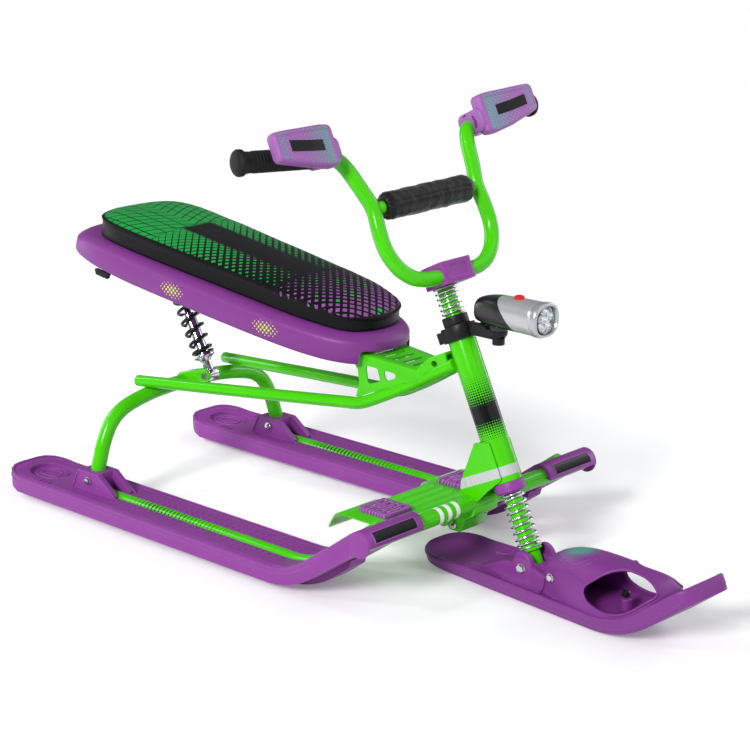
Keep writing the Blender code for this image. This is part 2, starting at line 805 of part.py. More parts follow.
def make_shock_bracket():
    """Two ears on the crown of the arch that carry the foot of the shock absorber."""
    reach = Vector((shock_eye_x - arch_x, shock_eye_z - arch_top_z))
    slope = math.degrees(math.atan2(reach.y, reach.x))
    outline = (arc(arch_x, arch_top_z, arch_tube_radius + 0.004, slope + 100.0, slope + 260.0, 8)
               + arc(shock_eye_x, shock_eye_z, shock_eye_radius, slope - 80.0, slope + 80.0, 8))
    inner = shock_eye_width / 2 + 0.0008
    bracket = prism("shock_bracket", outline, 2 * (inner + 0.003), 'xz', sled, frame_green)
    pocket_start = Vector((arch_x, arch_top_z)) + reach.normalized() * (arch_tube_radius + 0.0055)
    across = Vector((-reach.y, reach.x)).normalized() * 0.03
    ahead = reach.normalized() * 0.08
    corners = [pocket_start + across, pocket_start - across, pocket_start - across + ahead,
               pocket_start + across + ahead]
    cut(bracket, prism("shock_bracket_gap", [tuple(c) for c in corners], 2 * inner, 'xz', sled))
    cut(bracket, tube("shock_bracket_seat", arch_path(), arch_tube_radius + seat_gap, sled, solid=True))
    cut(bracket, rod("shock_bracket_hole", (shock_eye_x, -0.04, shock_eye_z),
                     (shock_eye_x, 0.04, shock_eye_z), shock_bolt_radius + seat_gap, sled, sides=12))
    half = inner + 0.003
    bolt("shock_lower_bolt", (shock_eye_x, -half, shock_eye_z), (shock_eye_x, half, shock_eye_z),
         shock_bolt_radius, sled)


def make_tow_bracket():
    """Two ears under the cross tube with a pin for the tow rope; the brake hangs on them too."""
    outline = rounded([(0.1770, 0.0660), (0.2010, 0.0660), (0.2080, 0.0860), (0.2260, 0.0980),
                       (0.2260, 0.1120), (0.2000, 0.1170), (0.1740, 0.1000)], 0.006, 3)
    bracket = prism("tow_bracket", outline, 2 * ear_outer, 'xz', sled, frame_green)
    pocket = [(0.160, 0.050), (0.1960, 0.050), (0.2010, 0.0700), (0.2010, 0.0900), (0.160, 0.1300)]
    cut(bracket, prism("tow_pocket", pocket, 2 * ear_inner, 'xz', sled), around_cross_tube("tow_seat"))
    for label, x, z, radius in (("tow", tow_pin_x, tow_pin_z, tow_pin_radius),
                                ("brake", brake_pivot_x, brake_pivot_z, brake_pin_radius)):
        cut(bracket, rod(label + "_pin_hole", (x, -0.04, z), (x, 0.04, z), radius + seat_gap, sled, sides=12))
    bolt("tow_pin", (tow_pin_x, -ear_outer, tow_pin_z), (tow_pin_x, ear_outer, tow_pin_z), tow_pin_radius,
         sled, chrome_steel, head=1.4)
    half = knuckle_outer + seat_gap
    bolt("brake_pivot_pin", (brake_pivot_x, -half, brake_pivot_z), (brake_pivot_x, half, brake_pivot_z),
         brake_pin_radius, sled, zinc_steel, head=1.5)


# Rear skis

def make_rear_ski(label, side):
    y = side * rear_ski_spacing / 2
    half = rear_ski_width / 2
    wall_bottom = rear_keel_depth
    deck = wall_bottom + rear_ski_thickness
    forward = Vector((math.cos(rear_curl_angle), math.sin(rear_curl_angle)))
    degrees = math.degrees(rear_curl_angle)

    def front_end(depth_low):
        """Low line, round the hook over the cross tube, and back along the deck line."""
        low, low_last, _, _ = rear_ski_line(depth_low)
        high, _, _, _ = rear_ski_line(rear_ski_thickness)
        hook_inner = cross_tube_radius + socket_clearance
        inner = arc(cross_tube_x, cross_tube_z, hook_inner, -110.0, -365.0, 14)
        outer = arc(cross_tube_x, cross_tube_z, rear_cap_radius, -5.0, 90.0 + degrees, 7)
        return low + inner + outer + list(reversed(high))

    side_outline = [(rear_ski_end, wall_bottom + 0.020), (rear_ski_end + 0.016, wall_bottom + 0.0075),
                    (rear_ski_end + 0.040, wall_bottom)]
    side_outline += front_end(0.0)
    side_outline += [(rear_ski_end + 0.050, deck), (rear_ski_end + 0.026, deck + 0.0025),
                     (rear_ski_end, deck + 0.008)]
    ski = prism("rear_ski_" + label, side_outline, rear_ski_width, 'xz', sled, ski_purple, centre=y)
    plan = rounded([(rear_ski_end - 0.0005, y - half), (0.30, y - half), (0.30, y + half),
                    (rear_ski_end - 0.0005, y + half)], rear_ski_corner, 4)
    keep_inside(ski, prism("ski_plan_" + label, plan, 0.30, 'xy', sled, centre=0.10))
    keel_low = rear_ski_line(-rear_keel_depth)[0]
    keel_high = rear_ski_line(0.004)[0]
    keel_end = keel_low[-1][0] + 0.030
    rise = math.tan(rear_curl_angle)
    keel_outline = [(rear_ski_end + 0.075, 0.0), *keel_low, (keel_end, keel_low[-1][1] + 0.030 * rise),
                    (keel_end + 0.004, keel_low[-1][1] + 0.030 * rise + 0.012),
                    *reversed(keel_high), (rear_ski_end + 0.050, wall_bottom + 0.004)]
    keel = prism("keel_" + label, keel_outline, rear_keel_width, 'xz', sled, centre=y)
    boss_outline = rounded([(arch_x - 0.042, deck - 0.004), (arch_x - 0.025, boss_top),
                            (arch_x + 0.025, boss_top), (arch_x + 0.074, deck - 0.004)], 0.006, 3)
    boss = prism("boss_" + label, boss_outline, boss_width, 'xz', sled, centre=y)
    fuse(ski, keel, boss)

    floor_line, floor_last, _, _ = rear_ski_line(-0.0006)
    floor_end = floor_last + forward * 0.085
    channel_outline = [(runner_channel_start, wall_bottom - 0.0006), *floor_line, tuple(floor_end),
                       (floor_end.x - 0.040, floor_end.y + 0.055), (0.020, 0.090),
                       (runner_channel_start, 0.090)]
    channel_width = 2 * (runner_tube_radius + 0.0005)
    cut(ski, prism("channel_" + label, channel_outline, channel_width, 'xz', sled, centre=y))
    path = runner_path(side)
    uphill = (path[-1] - path[-2]).normalized()
    cut(ski, rod("channel_end_" + label, path[-2] + uphill * 0.012, path[-1] + uphill * overshoot,
                 runner_tube_radius + socket_clearance, sled))
    low, high = arch_leg(side)
    slant = (high - low).normalized()
    cut(ski, rod("leg_socket_" + label, low - slant * seat_gap, high + slant * 0.02,
                 arch_tube_radius + seat_gap, sled, sides=16))
    cut(ski, rod("boss_hole_" + label, (arch_x, y - 0.05, boss_bolt_z), (arch_x, y + 0.05, boss_bolt_z),
                 boss_bolt_radius + seat_gap, sled, sides=12))

    dish = rounded([(rear_ski_end + 0.022, y - 0.030), (rear_ski_end + 0.098, y - 0.030),
                    (rear_ski_end + 0.098, y + 0.030), (rear_ski_end + 0.022, y + 0.030)], 0.028, 5)
    cut(ski, prism("dish_" + label, dish, 0.030, 'xy', sled, centre=deck + 0.011))
    for edge in (-1, 1):
        middle = y + edge * 0.0380
        cut(ski, block(f"groove_{label}_{edge}", (rear_ski_end + 0.060, middle - 0.0035, wall_bottom - 0.01),
                       (rear_curl_start - 0.010, middle + 0.0035, wall_bottom + 0.003), sled))
    outer_face = y + side * boss_width / 2
    inner_face = y - side * boss_width / 2
    bolt("rear_ski_bolt_" + label, (arch_x, outer_face, boss_bolt_z), (arch_x, inner_face, boss_bolt_z),
         boss_bolt_radius, sled, chrome_steel)


# Steering column

def make_fork():
    """The fork tube slides and turns in the bushes; its flange carries the lower spring."""
    bottom = pivot_s - fork_below_pivot
    inner = fork_radius - fork_wall
    profile = [(0, bottom + 0.035), (inner, bottom + 0.037), (inner, fork_top), (fork_radius, fork_top),
               (fork_radius, flange_top), (fork_flange_radius, flange_top),
               (fork_flange_radius, flange_top - fork_flange_height),
               (fork_radius, flange_top - fork_flange_height - 0.001), (fork_radius, bottom), (0, bottom)]
    fork = turned("fork_tube", profile, column, frame_green)
    cut(fork, rod("fork_pivot_hole", (0, -0.03, pivot_s), (0, 0.03, pivot_s), pivot_bolt_radius + seat_gap,
                  column, sides=16))


def make_steering_springs():
    top_seat = lower_collar_bottom
    washer_top = flange_top + seat_gap + lower_washer_height
    bore = fork_radius + seat_gap
    sleeve("lower_spring_washer", washer_top - lower_washer_height, washer_top, spring_washer_radius, bore,
           steering_axis, zinc_steel)
    coil("lower_spring", steering_spring_radius, steering_spring_wire, washer_top + seat_gap,
         top_seat - seat_gap, lower_spring_turns, steering_axis, chrome_steel)
    low = upper_collar_top
    washer_bottom = low + upper_spring_length
    coil("upper_spring", steering_spring_radius, steering_spring_wire, low + seat_gap,
         washer_bottom - seat_gap, upper_spring_turns, steering_axis, chrome_steel)
    sleeve("upper_spring_washer", washer_bottom, washer_bottom + upper_washer_height, spring_washer_radius,
           bore, steering_axis, zinc_steel)


def bar_centre_line():
    """Handlebar from the clamp out to its end, on the left side: forward, left, up the axis."""
    lower = ((bar_forward, stem_half_width + 0.004, 0.0), (0.0250, 0.0530, 0.017), (0.0235, 0.0730, 0.082),
             (0.0225, 0.0910, 0.234), (0.0220, 0.1020, 0.468), (0.0220, 0.1030, 0.727),
             (crossbar_forward, crossbar_half, 1.0))
    upper = ((0.0190, 0.1080, 0.343), (0.0130, 0.1180, 0.747), (0.0080, 0.1290, 0.944), (0.0035, 0.1420, 1.0))
    half = [Vector((x, y, bar_level + crossbar_height * share)) for x, y, share in lower]
    half += [Vector((x, y, crossbar_level + bar_end_height * share)) for x, y, share in upper]
    slope = Vector((-0.06, 1.0, 0.125)).normalized()
    start = half[-1]
    straight = [start + slope * (grip_end - 0.004 - start.y) * step for step in (0.1, 1.0)]
    return half + straight, start, slope


def make_handlebar():
    left = thin_out(smooth_path(bar_centre_line()[0], 4), 9.0)
    right = [Vector((point.x, -point.y, point.z)) for point in reversed(left)]
    path = right + left
    tube("handlebar", path, bar_radius, column, frame_green)
    return path


def make_stem_clamp():
    """Moulded block that holds the top of the fork and the middle of the handlebar."""
    outline = rounded([(-stem_rear, -0.021), (0.012, -stem_half_width), (stem_front, -stem_half_width),
                       (stem_front, stem_half_width), (0.012, stem_half_width), (-stem_rear, 0.021)],
                      0.006, 2)
    clamp = prism("stem_clamp", outline, stem_top - stem_bottom, 'xy', column, ski_purple,
                  centre=(stem_top + stem_bottom) / 2)
    round_edges(clamp, 0.0015, 1, 50.0)
    cut(clamp, rod("stem_fork_hole", (0, 0, stem_bottom - 0.01), (0, 0, fork_top + seat_gap),
                   fork_radius + seat_gap, column))
    cut(clamp, rod("stem_bar_hole", (bar_forward, -0.05, bar_level), (bar_forward, 0.05, bar_level),
                   bar_radius + seat_gap, column))
    recess = rounded([(-0.018, stem_bottom + 0.007), (0.018, stem_bottom + 0.007),
                      (0.018, stem_top - 0.007), (-0.018, stem_top - 0.007)], 0.004, 3)
    cut(clamp, prism("stem_recess", recess, 0.004, 'yz', column, centre=stem_front + 0.0008))


def make_crossbar(bar_path):
    x = crossbar_forward
    bar = rod("crossbar", (x, -crossbar_half, crossbar_level), (x, crossbar_half, crossbar_level),
              crossbar_radius, column, frame_green)
    cut(bar, tube("crossbar_ends", bar_path, bar_radius + seat_gap, column, solid=True))
    bore = crossbar_radius + seat_gap
    half, radius = pad_half_length, pad_radius
    turned("crossbar_pad", [(radius - 0.0045, half), (radius - 0.0010, half - 0.004), (radius, half - 0.020),
                            (radius, -half + 0.020), (radius - 0.0010, -half + 0.004),
                            (radius - 0.0045, -half), (bore, -half), (bore, half)],
           column, black_vinyl, at=(x, 0, crossbar_level), along=(0, 1, 0), steps=14, ring=True)


def make_grip(label, side):
    """Rubber sleeve over the end of the bar, with rings to hold by and a flange at its end."""
    _, start, slope = bar_centre_line()
    start = Vector((start.x, side * start.y, start.z))
    slope = Vector((slope.x, side * slope.y, slope.z))
    begin = (grip_start - abs(start.y)) / abs(slope.y)
    end = (grip_end - abs(start.y)) / abs(slope.y)
    bar_end = (grip_end - 0.004 - abs(start.y))
    grip_steps = 12
    bore = (bar_radius + seat_gap) / math.cos(math.pi / grip_steps)
    length = end - begin
    depth = bar_end - begin + seat_gap
    rings = []
    ring_count = 4
    for index in range(ring_count):
        at = length - 0.016 - (length - 0.026) * index / ring_count
        rings += [(grip_radius, at), (grip_radius - 0.0009, at - 0.006)]
    profile = [(0, length), (grip_flange_radius - 0.003, length), (grip_flange_radius, length - 0.003),
               (grip_flange_radius, length - 0.008), (grip_radius, length - 0.010), *rings,
               (grip_radius, 0.002), (grip_radius - 0.002, 0), (bore, 0), (bore, depth), (0, depth)]
    turned("grip_" + label, profile, column, black_rubber, at=start + slope * begin, along=slope,
           steps=grip_steps)


def make_hand_guard(label, side):
    """Curved shield ahead of the grip, on a ring round the bar."""
    _, start, slope = bar_centre_line()
    start = Vector((start.x, side * start.y, start.z))
    slope = Vector((slope.x, side * slope.y, slope.z))
    stations = ((0.134, 0.0330, -0.0095, 0.0175), (0.144, 0.0375, -0.0205, 0.0265),
                (0.160, 0.0400, -0.0265, 0.0365), (0.190, 0.0460, -0.0205, 0.0395),
                (0.225, 0.0480, -0.0105, 0.0395), (0.255, 0.0470, -0.0035, 0.0365),
                (0.272, 0.0450, 0.0005, 0.0325), (0.281, 0.0430, 0.0055, 0.0275))
    bulge, wall = 0.0085, 0.0034
    sections = []
    for across, ahead, low, high in stations:
        section = []
        for depth, order in ((0.0, range(7)), (wall, reversed(range(7)))):
            for step in order:
                share = step / 3 - 1
                height = bar_end_level + (low + high) / 2 + share * ((high - low) / 2 - depth * 0.4)
                forward = ahead - depth - bulge * abs(share) ** 2.4
                section.append((forward, side * across, height))
        sections.append(section)
    guard = loft("hand_guard_" + label, sections, column, ski_purple)
    offset = (guard_clamp_at - abs(start.y)) / abs(slope.y)
    middle = start + slope * offset
    near = middle - slope * guard_clamp_width / 2
    ring = rod("guard_ring_" + label, near, near + slope * guard_clamp_width, bar_radius + 0.0045, column,
               sides=16)
    arm = block("guard_arm_" + label, (middle.x + 0.006, middle.y - 0.0058, middle.z - 0.009),
                (0.0330, middle.y + 0.0058, middle.z + 0.009), column)
    fuse(guard, ring, arm)
    cut(guard, rod("guard_bore_" + label, middle - slope * 0.03, middle + slope * 0.008,
                   bar_radius + seat_gap, column, sides=16))


# Front ski

def make_front_ski():
    bottom = front_ski_offset(0.0)
    deck = front_ski_offset(front_ski_thickness)
    deck_z = front_ski_thickness - front_pivot_above_wall
    ski = prism("front_ski", bottom + list(reversed(deck)), front_ski_width, 'xz', front_pivot, ski_purple)
    half = front_ski_width / 2
    ends = (-front_ski_tail - 0.0005, front_ski_tip - 0.0005)
    plan = rounded([(ends[0], -half), (ends[1], -half), (ends[1], half), (ends[0], half)],
                   front_ski_corner, 4)
    keep_inside(ski, prism("front_plan", plan, 0.40, 'xy', front_pivot, centre=0.05))
    keel_low = front_ski_offset(-front_keel_depth)[3:-3]
    keel_high = front_ski_offset(0.004)[3:-2]
    keel_outline = ([(-front_ski_tail + 0.050, -front_pivot_above_wall - front_keel_depth)] + keel_low
                    + list(reversed(keel_high))
                    + [(-front_ski_tail + 0.044, -front_pivot_above_wall + 0.004)])
    fuse(ski, prism("front_keel", keel_outline, front_keel_width, 'xz', front_pivot))

    cheeks_outline = ([(-cheek_rear - 0.012, deck_z - 0.004), (-cheek_rear, deck_z)]
                      + arc(0.0, 0.0, cheek_height, 145.0, 35.0, 8)
                      + [(cheek_front, deck_z), (cheek_front + 0.008, deck_z - 0.004)])
    cheeks = prism("cheeks", cheeks_outline, cheek_width, 'xz', front_pivot)
    rib_outline = [(0.020, deck_z - 0.004), (0.020, rib_block_height - 0.006), (0.034, rib_block_height),
                   (rib_block_front - 0.016, rib_block_height), (rib_block_front, deck_z - 0.004)]
    rib = prism("rib_block", rib_outline, rib_block_width, 'xz', front_pivot)
    fuse(ski, cheeks, rib)
    post_base = front_deck_height(cowl_nut_ahead)
    fuse(ski, rod("nut_post", (cowl_nut_ahead, 0, post_base - 0.005),
                  (cowl_nut_ahead, 0, post_base + cowl_nut_post_height), 0.0075, front_pivot, sides=12))

    pocket_outline = [(-cheek_rear - 0.02, deck_z + 0.0015), (-0.0260, -0.0215), (0.0250, -0.0215),
                      (0.0250, 0.050), (-cheek_rear - 0.02, 0.050)]
    cut(ski, prism("fork_pocket", pocket_outline, cheek_gap, 'xz', front_pivot))
    cut(ski, rod("pivot_hole", (0, -0.05, 0), (0, 0.05, 0), pivot_bolt_radius + seat_gap, front_pivot,
                 sides=12))
    cut(ski, rod("cowl_bolt_hole", (cowl_bolt_ahead, -0.05, cowl_bolt_above),
                 (cowl_bolt_ahead, 0.05, cowl_bolt_above), cowl_bolt_radius + seat_gap, front_pivot,
                 sides=10))
    bolt("ski_pivot_bolt", (0, -cheek_width / 2, 0), (0, cheek_width / 2, 0),
         pivot_bolt_radius, front_pivot, chrome_steel, head=1.7)


def make_cowl():
    """Thin moulded cover over the front of the ski, open below, with a hand hole through its sides."""
    stations = ((0.038, 0.0240, 0.0200), (0.050, 0.0285, 0.0330), (0.072, 0.0350, 0.0450),
                (0.100, 0.0420, 0.0510), (0.132, 0.0465, 0.0530), (0.165, 0.0480, 0.0515),
                (0.195, 0.0475, 0.0500), (0.220, 0.0450, 0.0490), (0.236, 0.0405, 0.0450),
                (0.246, 0.0350, 0.0385), (0.252, 0.0280, 0.0350))
    arch_steps = 10
    sections = []
    for ahead, half, top in stations:
        base = front_deck_height(ahead) + seat_gap
        section = []
        for step in range(arch_steps + 1):
            angle = math.pi * step / arch_steps
            across = math.copysign(abs(math.cos(angle)) ** 0.72, math.cos(angle)) * half
            height = base + (top - base) * math.sin(angle) ** 0.80
            section.append((ahead, across, height))
        sections.append(section)
    cowl = loft("ski_cowl", sections, front_pivot, ski_purple, capped=False)
    wall = cowl.modifiers.new("wall", 'SOLIDIFY')
    wall.thickness = cowl_wall
    wall.offset = -1.0
    wall.use_even_offset = False
    wall.use_rim = True
    window = rounded([(0.150, 0.010), (0.164, 0.029), (0.192, 0.0345), (0.222, 0.0350), (0.2360, 0.0300),
                      (0.222, 0.0180), (0.195, 0.0070), (0.170, 0.0020)], 0.006, 3)
    cut(cowl, prism("cowl_window", window, 0.14, 'xz', front_pivot))
    reach = 0.06
    cut(cowl, rod("cowl_side_hole", (cowl_bolt_ahead, -reach, cowl_bolt_above),
                  (cowl_bolt_ahead, reach, cowl_bolt_above), cowl_bolt_radius + seat_gap, front_pivot,
                  sides=12))


def make_cowl_fasteners():
    """A bolt through the cowl and the rib, and a nut on the post under the hand hole."""
    half = cowl_half_at_bolt
    bolt("cowl_bolt", (cowl_bolt_ahead, -half, cowl_bolt_above), (cowl_bolt_ahead, half, cowl_bolt_above),
         cowl_bolt_radius, front_pivot, chrome_steel)
    base = front_deck_height(cowl_nut_ahead) + cowl_nut_post_height + seat_gap
    turned("cowl_nut", [(0, 0.0080), (0.0040, 0.0078), (0.0062, 0.0055), (0.0065, 0.0), (0, 0.0)],
           front_pivot, black_plastic, at=(cowl_nut_ahead, 0, base), steps=6)


# Seat

def seat_outline(points):
    right = [(x, -y) for x, y in reversed(points[1:-1])]
    return [point.to_2d() for point in smooth_path([(x, y, 0) for x, y in points + right], 2, closed=True)]


def pan_outline():
    return seat_outline([(pan_front, 0.0), (pan_front - 0.007, 0.036), (pan_front - 0.032, 0.068),
                         (-0.025, 0.0900), (-0.100, 0.1030), (-0.250, 0.1120), (-0.420, 0.1175),
                         (-0.520, 0.1175), (-pan_rear + 0.024, 0.1020), (-pan_rear + 0.004, 0.0600),
                         (-pan_rear, 0.0)])


def cushion_outline():
    return seat_outline([(cushion_front, 0.0), (cushion_front - 0.006, 0.034), (0.002, 0.0600),
                         (-0.045, 0.0745), (-0.100, 0.0820), (-0.200, 0.0870), (-0.310, 0.0925),
                         (-0.410, 0.0965), (-0.490, 0.0950), (-cushion_rear + 0.022, 0.0800),
                         (-cushion_rear + 0.004, 0.0450), (-cushion_rear, 0.0)])


def stack(name, outline, levels, parent, finish=None):
    """An outline stacked in layers, each (height, how far in from the outline)."""
    sections = [[(p.x, p.y, height) for p in inset(outline, distance)] for height, distance in levels]
    return loft(name, sections, parent, finish)


def make_seat_pan():
    """Moulded pan, hollow below, with lugs inside for its hinge pin and a notch over the bracket."""
    top = pan_bottom + pan_depth
    outline = pan_outline()
    pan = stack("seat_pan", outline, [(pan_bottom, 0.0020), (pan_bottom + 0.003, 0.0), (top - 0.018, 0.0015),
                                      (top - 0.007, 0.0065), (top - 0.0015, 0.0130), (top, 0.0190)],
                seat, ski_purple)
    hollow = stack("pan_hollow", outline, [(pan_bottom - 0.01, pan_wall), (top - 0.020, pan_wall + 0.001),
                                           (top - pan_wall - 0.004, 0.0120), (top - pan_wall, 0.0200)], seat)
    cut(pan, hollow)
    lug_outer = bracket_rear_half - sheet - 0.0006
    for label, side in sides:
        near, far = sorted((side * lug_outer, side * (lug_outer - 0.008)))
        fuse(pan, block("hinge_lug_" + label, (-0.0095, near, -0.0085), (0.0095, far, top - 0.002), seat))
    cut(pan, rod("pan_pin_hole", (0, -0.05, 0), (0, 0.05, 0), hinge_pin_radius + seat_gap, seat, sides=12))
    notch = rounded([(-0.055, -0.040), (0.055, -0.040), (0.055, 0.0040), (-0.055, 0.0040)], 0.008, 3)
    cut(pan, prism("pan_notch", notch, 0.10, 'yz', seat, centre=0.065))
    half = bracket_rear_half + seat_gap
    bolt("seat_hinge_pin", (0, -half, 0), (0, half, 0), hinge_pin_radius, seat, zinc_steel, head=1.5)


def make_seat_cushion():
    """Upholstered pad: sides drawn in under the piping and a crown above it."""
    base = pan_bottom + pan_depth + seat_gap
    piping = base + cushion_side
    levels = [(base, 0.0035), (base + 0.004, 0.0045), (piping - 0.008, 0.0040), (piping - 0.002, 0.0005),
              (piping, 0.0), (piping + 0.0025, 0.0025)]
    for share in (0.35, 0.65, 0.86, 0.96):
        levels.append((piping + 0.0025 + (cushion_crown - 0.0025) * share, 0.004 + 0.046 * share ** 1.6))
    cushion = stack("seat_cushion", cushion_outline(), levels, seat, black_vinyl)
    nose_drop = 0.0105
    for vertex in cushion.data.vertices:
        share = max(0.0, (vertex.co.x + 0.10) / (cushion_front + 0.10))
        above = (vertex.co.z - base) / (piping - base)
        vertex.co.z -= nose_drop * share ** 2 * min(above, 1.0)


def upper_eye():
    """Place of the shock absorber's upper eye, in the seat's frame."""
    reach = Vector((-math.sin(shock_lean), math.cos(shock_lean))) * shock_length
    point = Vector((shock_eye_x - seat_hinge_x, shock_eye_z - seat_hinge_z)) + reach
    cosine, sine = math.cos(seat_tilt), math.sin(seat_tilt)
    return point.x * cosine - point.y * sine, point.x * sine + point.y * cosine


def make_shock_upper_bracket():
    """Sheet bracket under the pan with a fixed cross pin for the shock absorber's upper eye."""
    x, z = upper_eye()
    roof = pan_bottom + pan_depth - pan_wall - seat_gap
    inner = shock_eye_width / 2 + 0.0010
    outline = ([(x - 0.020, roof), (x - 0.020, roof - 0.006)] + arc(x, z, 0.0095, 190.0, 350.0, 8)
               + [(x + 0.020, roof - 0.006), (x + 0.020, roof)])
    bracket = prism("shock_upper_bracket", outline, 2 * (inner + 0.003), 'xz', seat, black_steel)
    gap = block("upper_bracket_gap", (x - 0.05, -inner, z - 0.05), (x + 0.05, inner, roof - 0.003), seat)
    cut(bracket, gap)
    fuse(bracket, rod("upper_bracket_pin", (x, -inner - 0.002, z), (x, inner + 0.002, z), shock_bolt_radius,
                      seat, sides=12))


def make_seat_bumper():
    """Rubber block under the pan's right rim that meets the rail side when the seat goes down."""
    x = -0.480
    edge = -0.1145
    outline = rounded([(x - 0.018, pan_bottom - seat_gap), (x - 0.014, pan_bottom - 0.010),
                       (x + 0.014, pan_bottom - 0.010), (x + 0.018, pan_bottom - seat_gap)], 0.002, 2)
    prism("seat_bumper", outline, 0.006, 'xz', seat, black_rubber, centre=edge + 0.003)


# Shock absorber, up its own axis from the lower eye

def make_shock():
    eye_half = shock_eye_width / 2
    lower_seat = 0.030
    upper_seat = shock_length - 0.030
    body_top = 0.105
    body = turned("shock_body", [(0, lower_seat), (shock_rod_radius + seat_gap, lower_seat + 0.002),
                                 (shock_rod_radius + seat_gap, body_top),
                                 (shock_rod_radius + 0.0015, body_top), (shock_body_radius, body_top - 0.002),
                                 (shock_body_radius, lower_seat + 0.003),
                                 (shock_seat_radius, lower_seat + 0.003),
                                 (shock_seat_radius, lower_seat), (shock_body_radius, lower_seat - 0.003),
                                 (0.0075, lower_seat - 0.008), (0.0075, 0.0), (0, 0.0)],
                  shock, black_steel, steps=16)
    fuse(body, rod("lower_eye", (0, -eye_half, 0), (0, eye_half, 0), shock_eye_radius, shock, sides=16))
    cut(body, rod("lower_eye_hole", (0, -0.02, 0), (0, 0.02, 0), shock_bolt_radius + seat_gap, shock,
                  sides=12))
    rod_end = lower_seat + 0.040
    upper = turned("shock_rod", [(0, shock_length), (0.0075, shock_length), (0.0075, upper_seat + 0.007),
                                 (shock_seat_radius, upper_seat + 0.003), (shock_seat_radius, upper_seat),
                                 (shock_rod_radius, upper_seat), (shock_rod_radius, rod_end), (0, rod_end)],
                   shock, chrome_steel, steps=16)
    fuse(upper, rod("upper_eye", (0, -eye_half, shock_length), (0, eye_half, shock_length), shock_eye_radius,
                    shock, sides=16))
    cut(upper, rod("upper_eye_hole", (0, -0.02, shock_length), (0, 0.02, shock_length),
                   shock_bolt_radius + 0.0010, shock, sides=12))
    coil("shock_spring", shock_spring_radius, shock_wire, lower_seat + 0.003 + seat_gap,
         upper_seat - seat_gap, shock_turns, shock, black_steel)


# Foot brake, measured from its pivot

def sheet_outline(points, thickness):
    """A bent sheet seen edge on: the points are its top side."""
    top = [Vector(point) for point in points]
    under = []
    for index, point in enumerate(top):
        before = top[max(index - 1, 0)]
        after = top[min(index + 1, len(top) - 1)]
        along = (after - before).normalized()
        under.append(point + Vector((along.y, -along.x)) * thickness)
    return [tuple(p) for p in top] + [tuple(p) for p in reversed(under)]


def make_brake():
    """Foot plate that hangs on the tow bracket's ears; its rear lips dig in when it is pressed."""
    top = brake_top - brake_pivot_z
    rear = brake_lip_x - brake_pivot_x
    low = brake_lip_z - brake_pivot_z
    bend = smooth_path([(rear, low, 0), (rear + 0.008, low + 0.012, 0), (rear + 0.022, top - 0.004, 0),
                        (rear + 0.040, top, 0)], 3)
    side = [(p.x, p.y) for p in bend] + [(-0.016, top)]
    plate = prism("brake_plate", sheet_outline(side, sheet), 2 * brake_half_width, 'xz', brake, frame_green)
    lip_outer = brake_half_width - 0.010
    left = [(-0.0165, knuckle_outer), (-0.030, 0.056), (-0.038, brake_half_width - 0.008),
            (-0.046, brake_half_width), (-0.118, brake_half_width), (rear - 0.001, lip_outer),
            (rear - 0.001, 0.064), (-0.122, 0.052), (-0.112, 0.046)]
    plan = rounded(left + [(x, -y) for x, y in reversed(left)], 0.005, 3)
    keep_inside(plate, prism("brake_plan", plan, 0.20, 'xy', brake))
    ridge_pitch = 0.0185
    for index in range(4):
        x = -0.100 + ridge_pitch * index
        ridge = [(x - 0.006, top - 0.0015), (x, top + 0.0030), (x + 0.006, top - 0.0015)]
        fuse(plate, prism(f"brake_ridge_{index + 1}", ridge, 2 * brake_ridge_half, 'xz', brake))
    for label, hand in sides:
        middle = hand * (knuckle_inner + knuckle_outer) / 2
        arm = [(-0.030, top - sheet + 0.0002), (-0.030, top - 0.0002), (-0.010, top - 0.0002)]
        arm += arc(0, 0, knuckle_radius, 70.0, -150.0, 8)
        fuse(plate, prism("knuckle_" + label, arm, knuckle_outer - knuckle_inner, 'xz', brake, centre=middle))
    cut(plate, rod("knuckle_hole", (0, -0.06, 0), (0, 0.06, 0), brake_pin_radius + seat_gap, brake, sides=12))
    cut(plate, block("brake_ear_room", (-0.0135, -ear_outer - 0.001, -0.03), (0.03, ear_outer + 0.001, 0.03),
                     brake))


def make_brake_pad(label, side):
    """Moulded tread for the foot, with grooves in a herringbone."""
    x0, x1 = pad_rear - brake_pivot_x, pad_front - brake_pivot_x
    y0, y1 = sorted((side * pad_inner, side * pad_outer))
    top = brake_top - brake_pivot_z + seat_gap
    outline = rounded([(x0, y0), (x1, y0), (x1, y1), (x0, y1)], 0.006, 3)
    pad = prism("brake_pad_" + label, outline, pad_height, 'xy', brake, ski_purple,
                centre=top + pad_height / 2)
    middle_y = (y0 + y1) / 2
    groove_half = 0.0016
    reach = 0.023
    for index in range(4):
        x = x0 + 0.0145 + 0.0125 * index
        for edge in (-1, 1):
            inner_y, outer_y = middle_y + edge * 0.003, middle_y + edge * reach
            lean = 0.007
            groove = [(x - groove_half, inner_y), (x + groove_half, inner_y),
                      (x + groove_half - lean, outer_y), (x - groove_half - lean, outer_y)]
            cut(pad, prism(f"tread_{label}_{index + 1}_{edge}", groove, 0.006, 'xy', brake,
                           centre=top + pad_height + 0.0005))


def make_brake_spring():
    """Return spring round the pivot pin, between the two ears."""
    holder = add_frame("brake_spring_axis", brake, (0, 0, 0), (-math.pi / 2, 0, 0))
    reach = ear_inner - seat_gap
    coil("brake_spring", brake_spring_radius, brake_spring_wire, -reach, reach, brake_spring_turns, holder,
         zinc_steel)


# Lamp

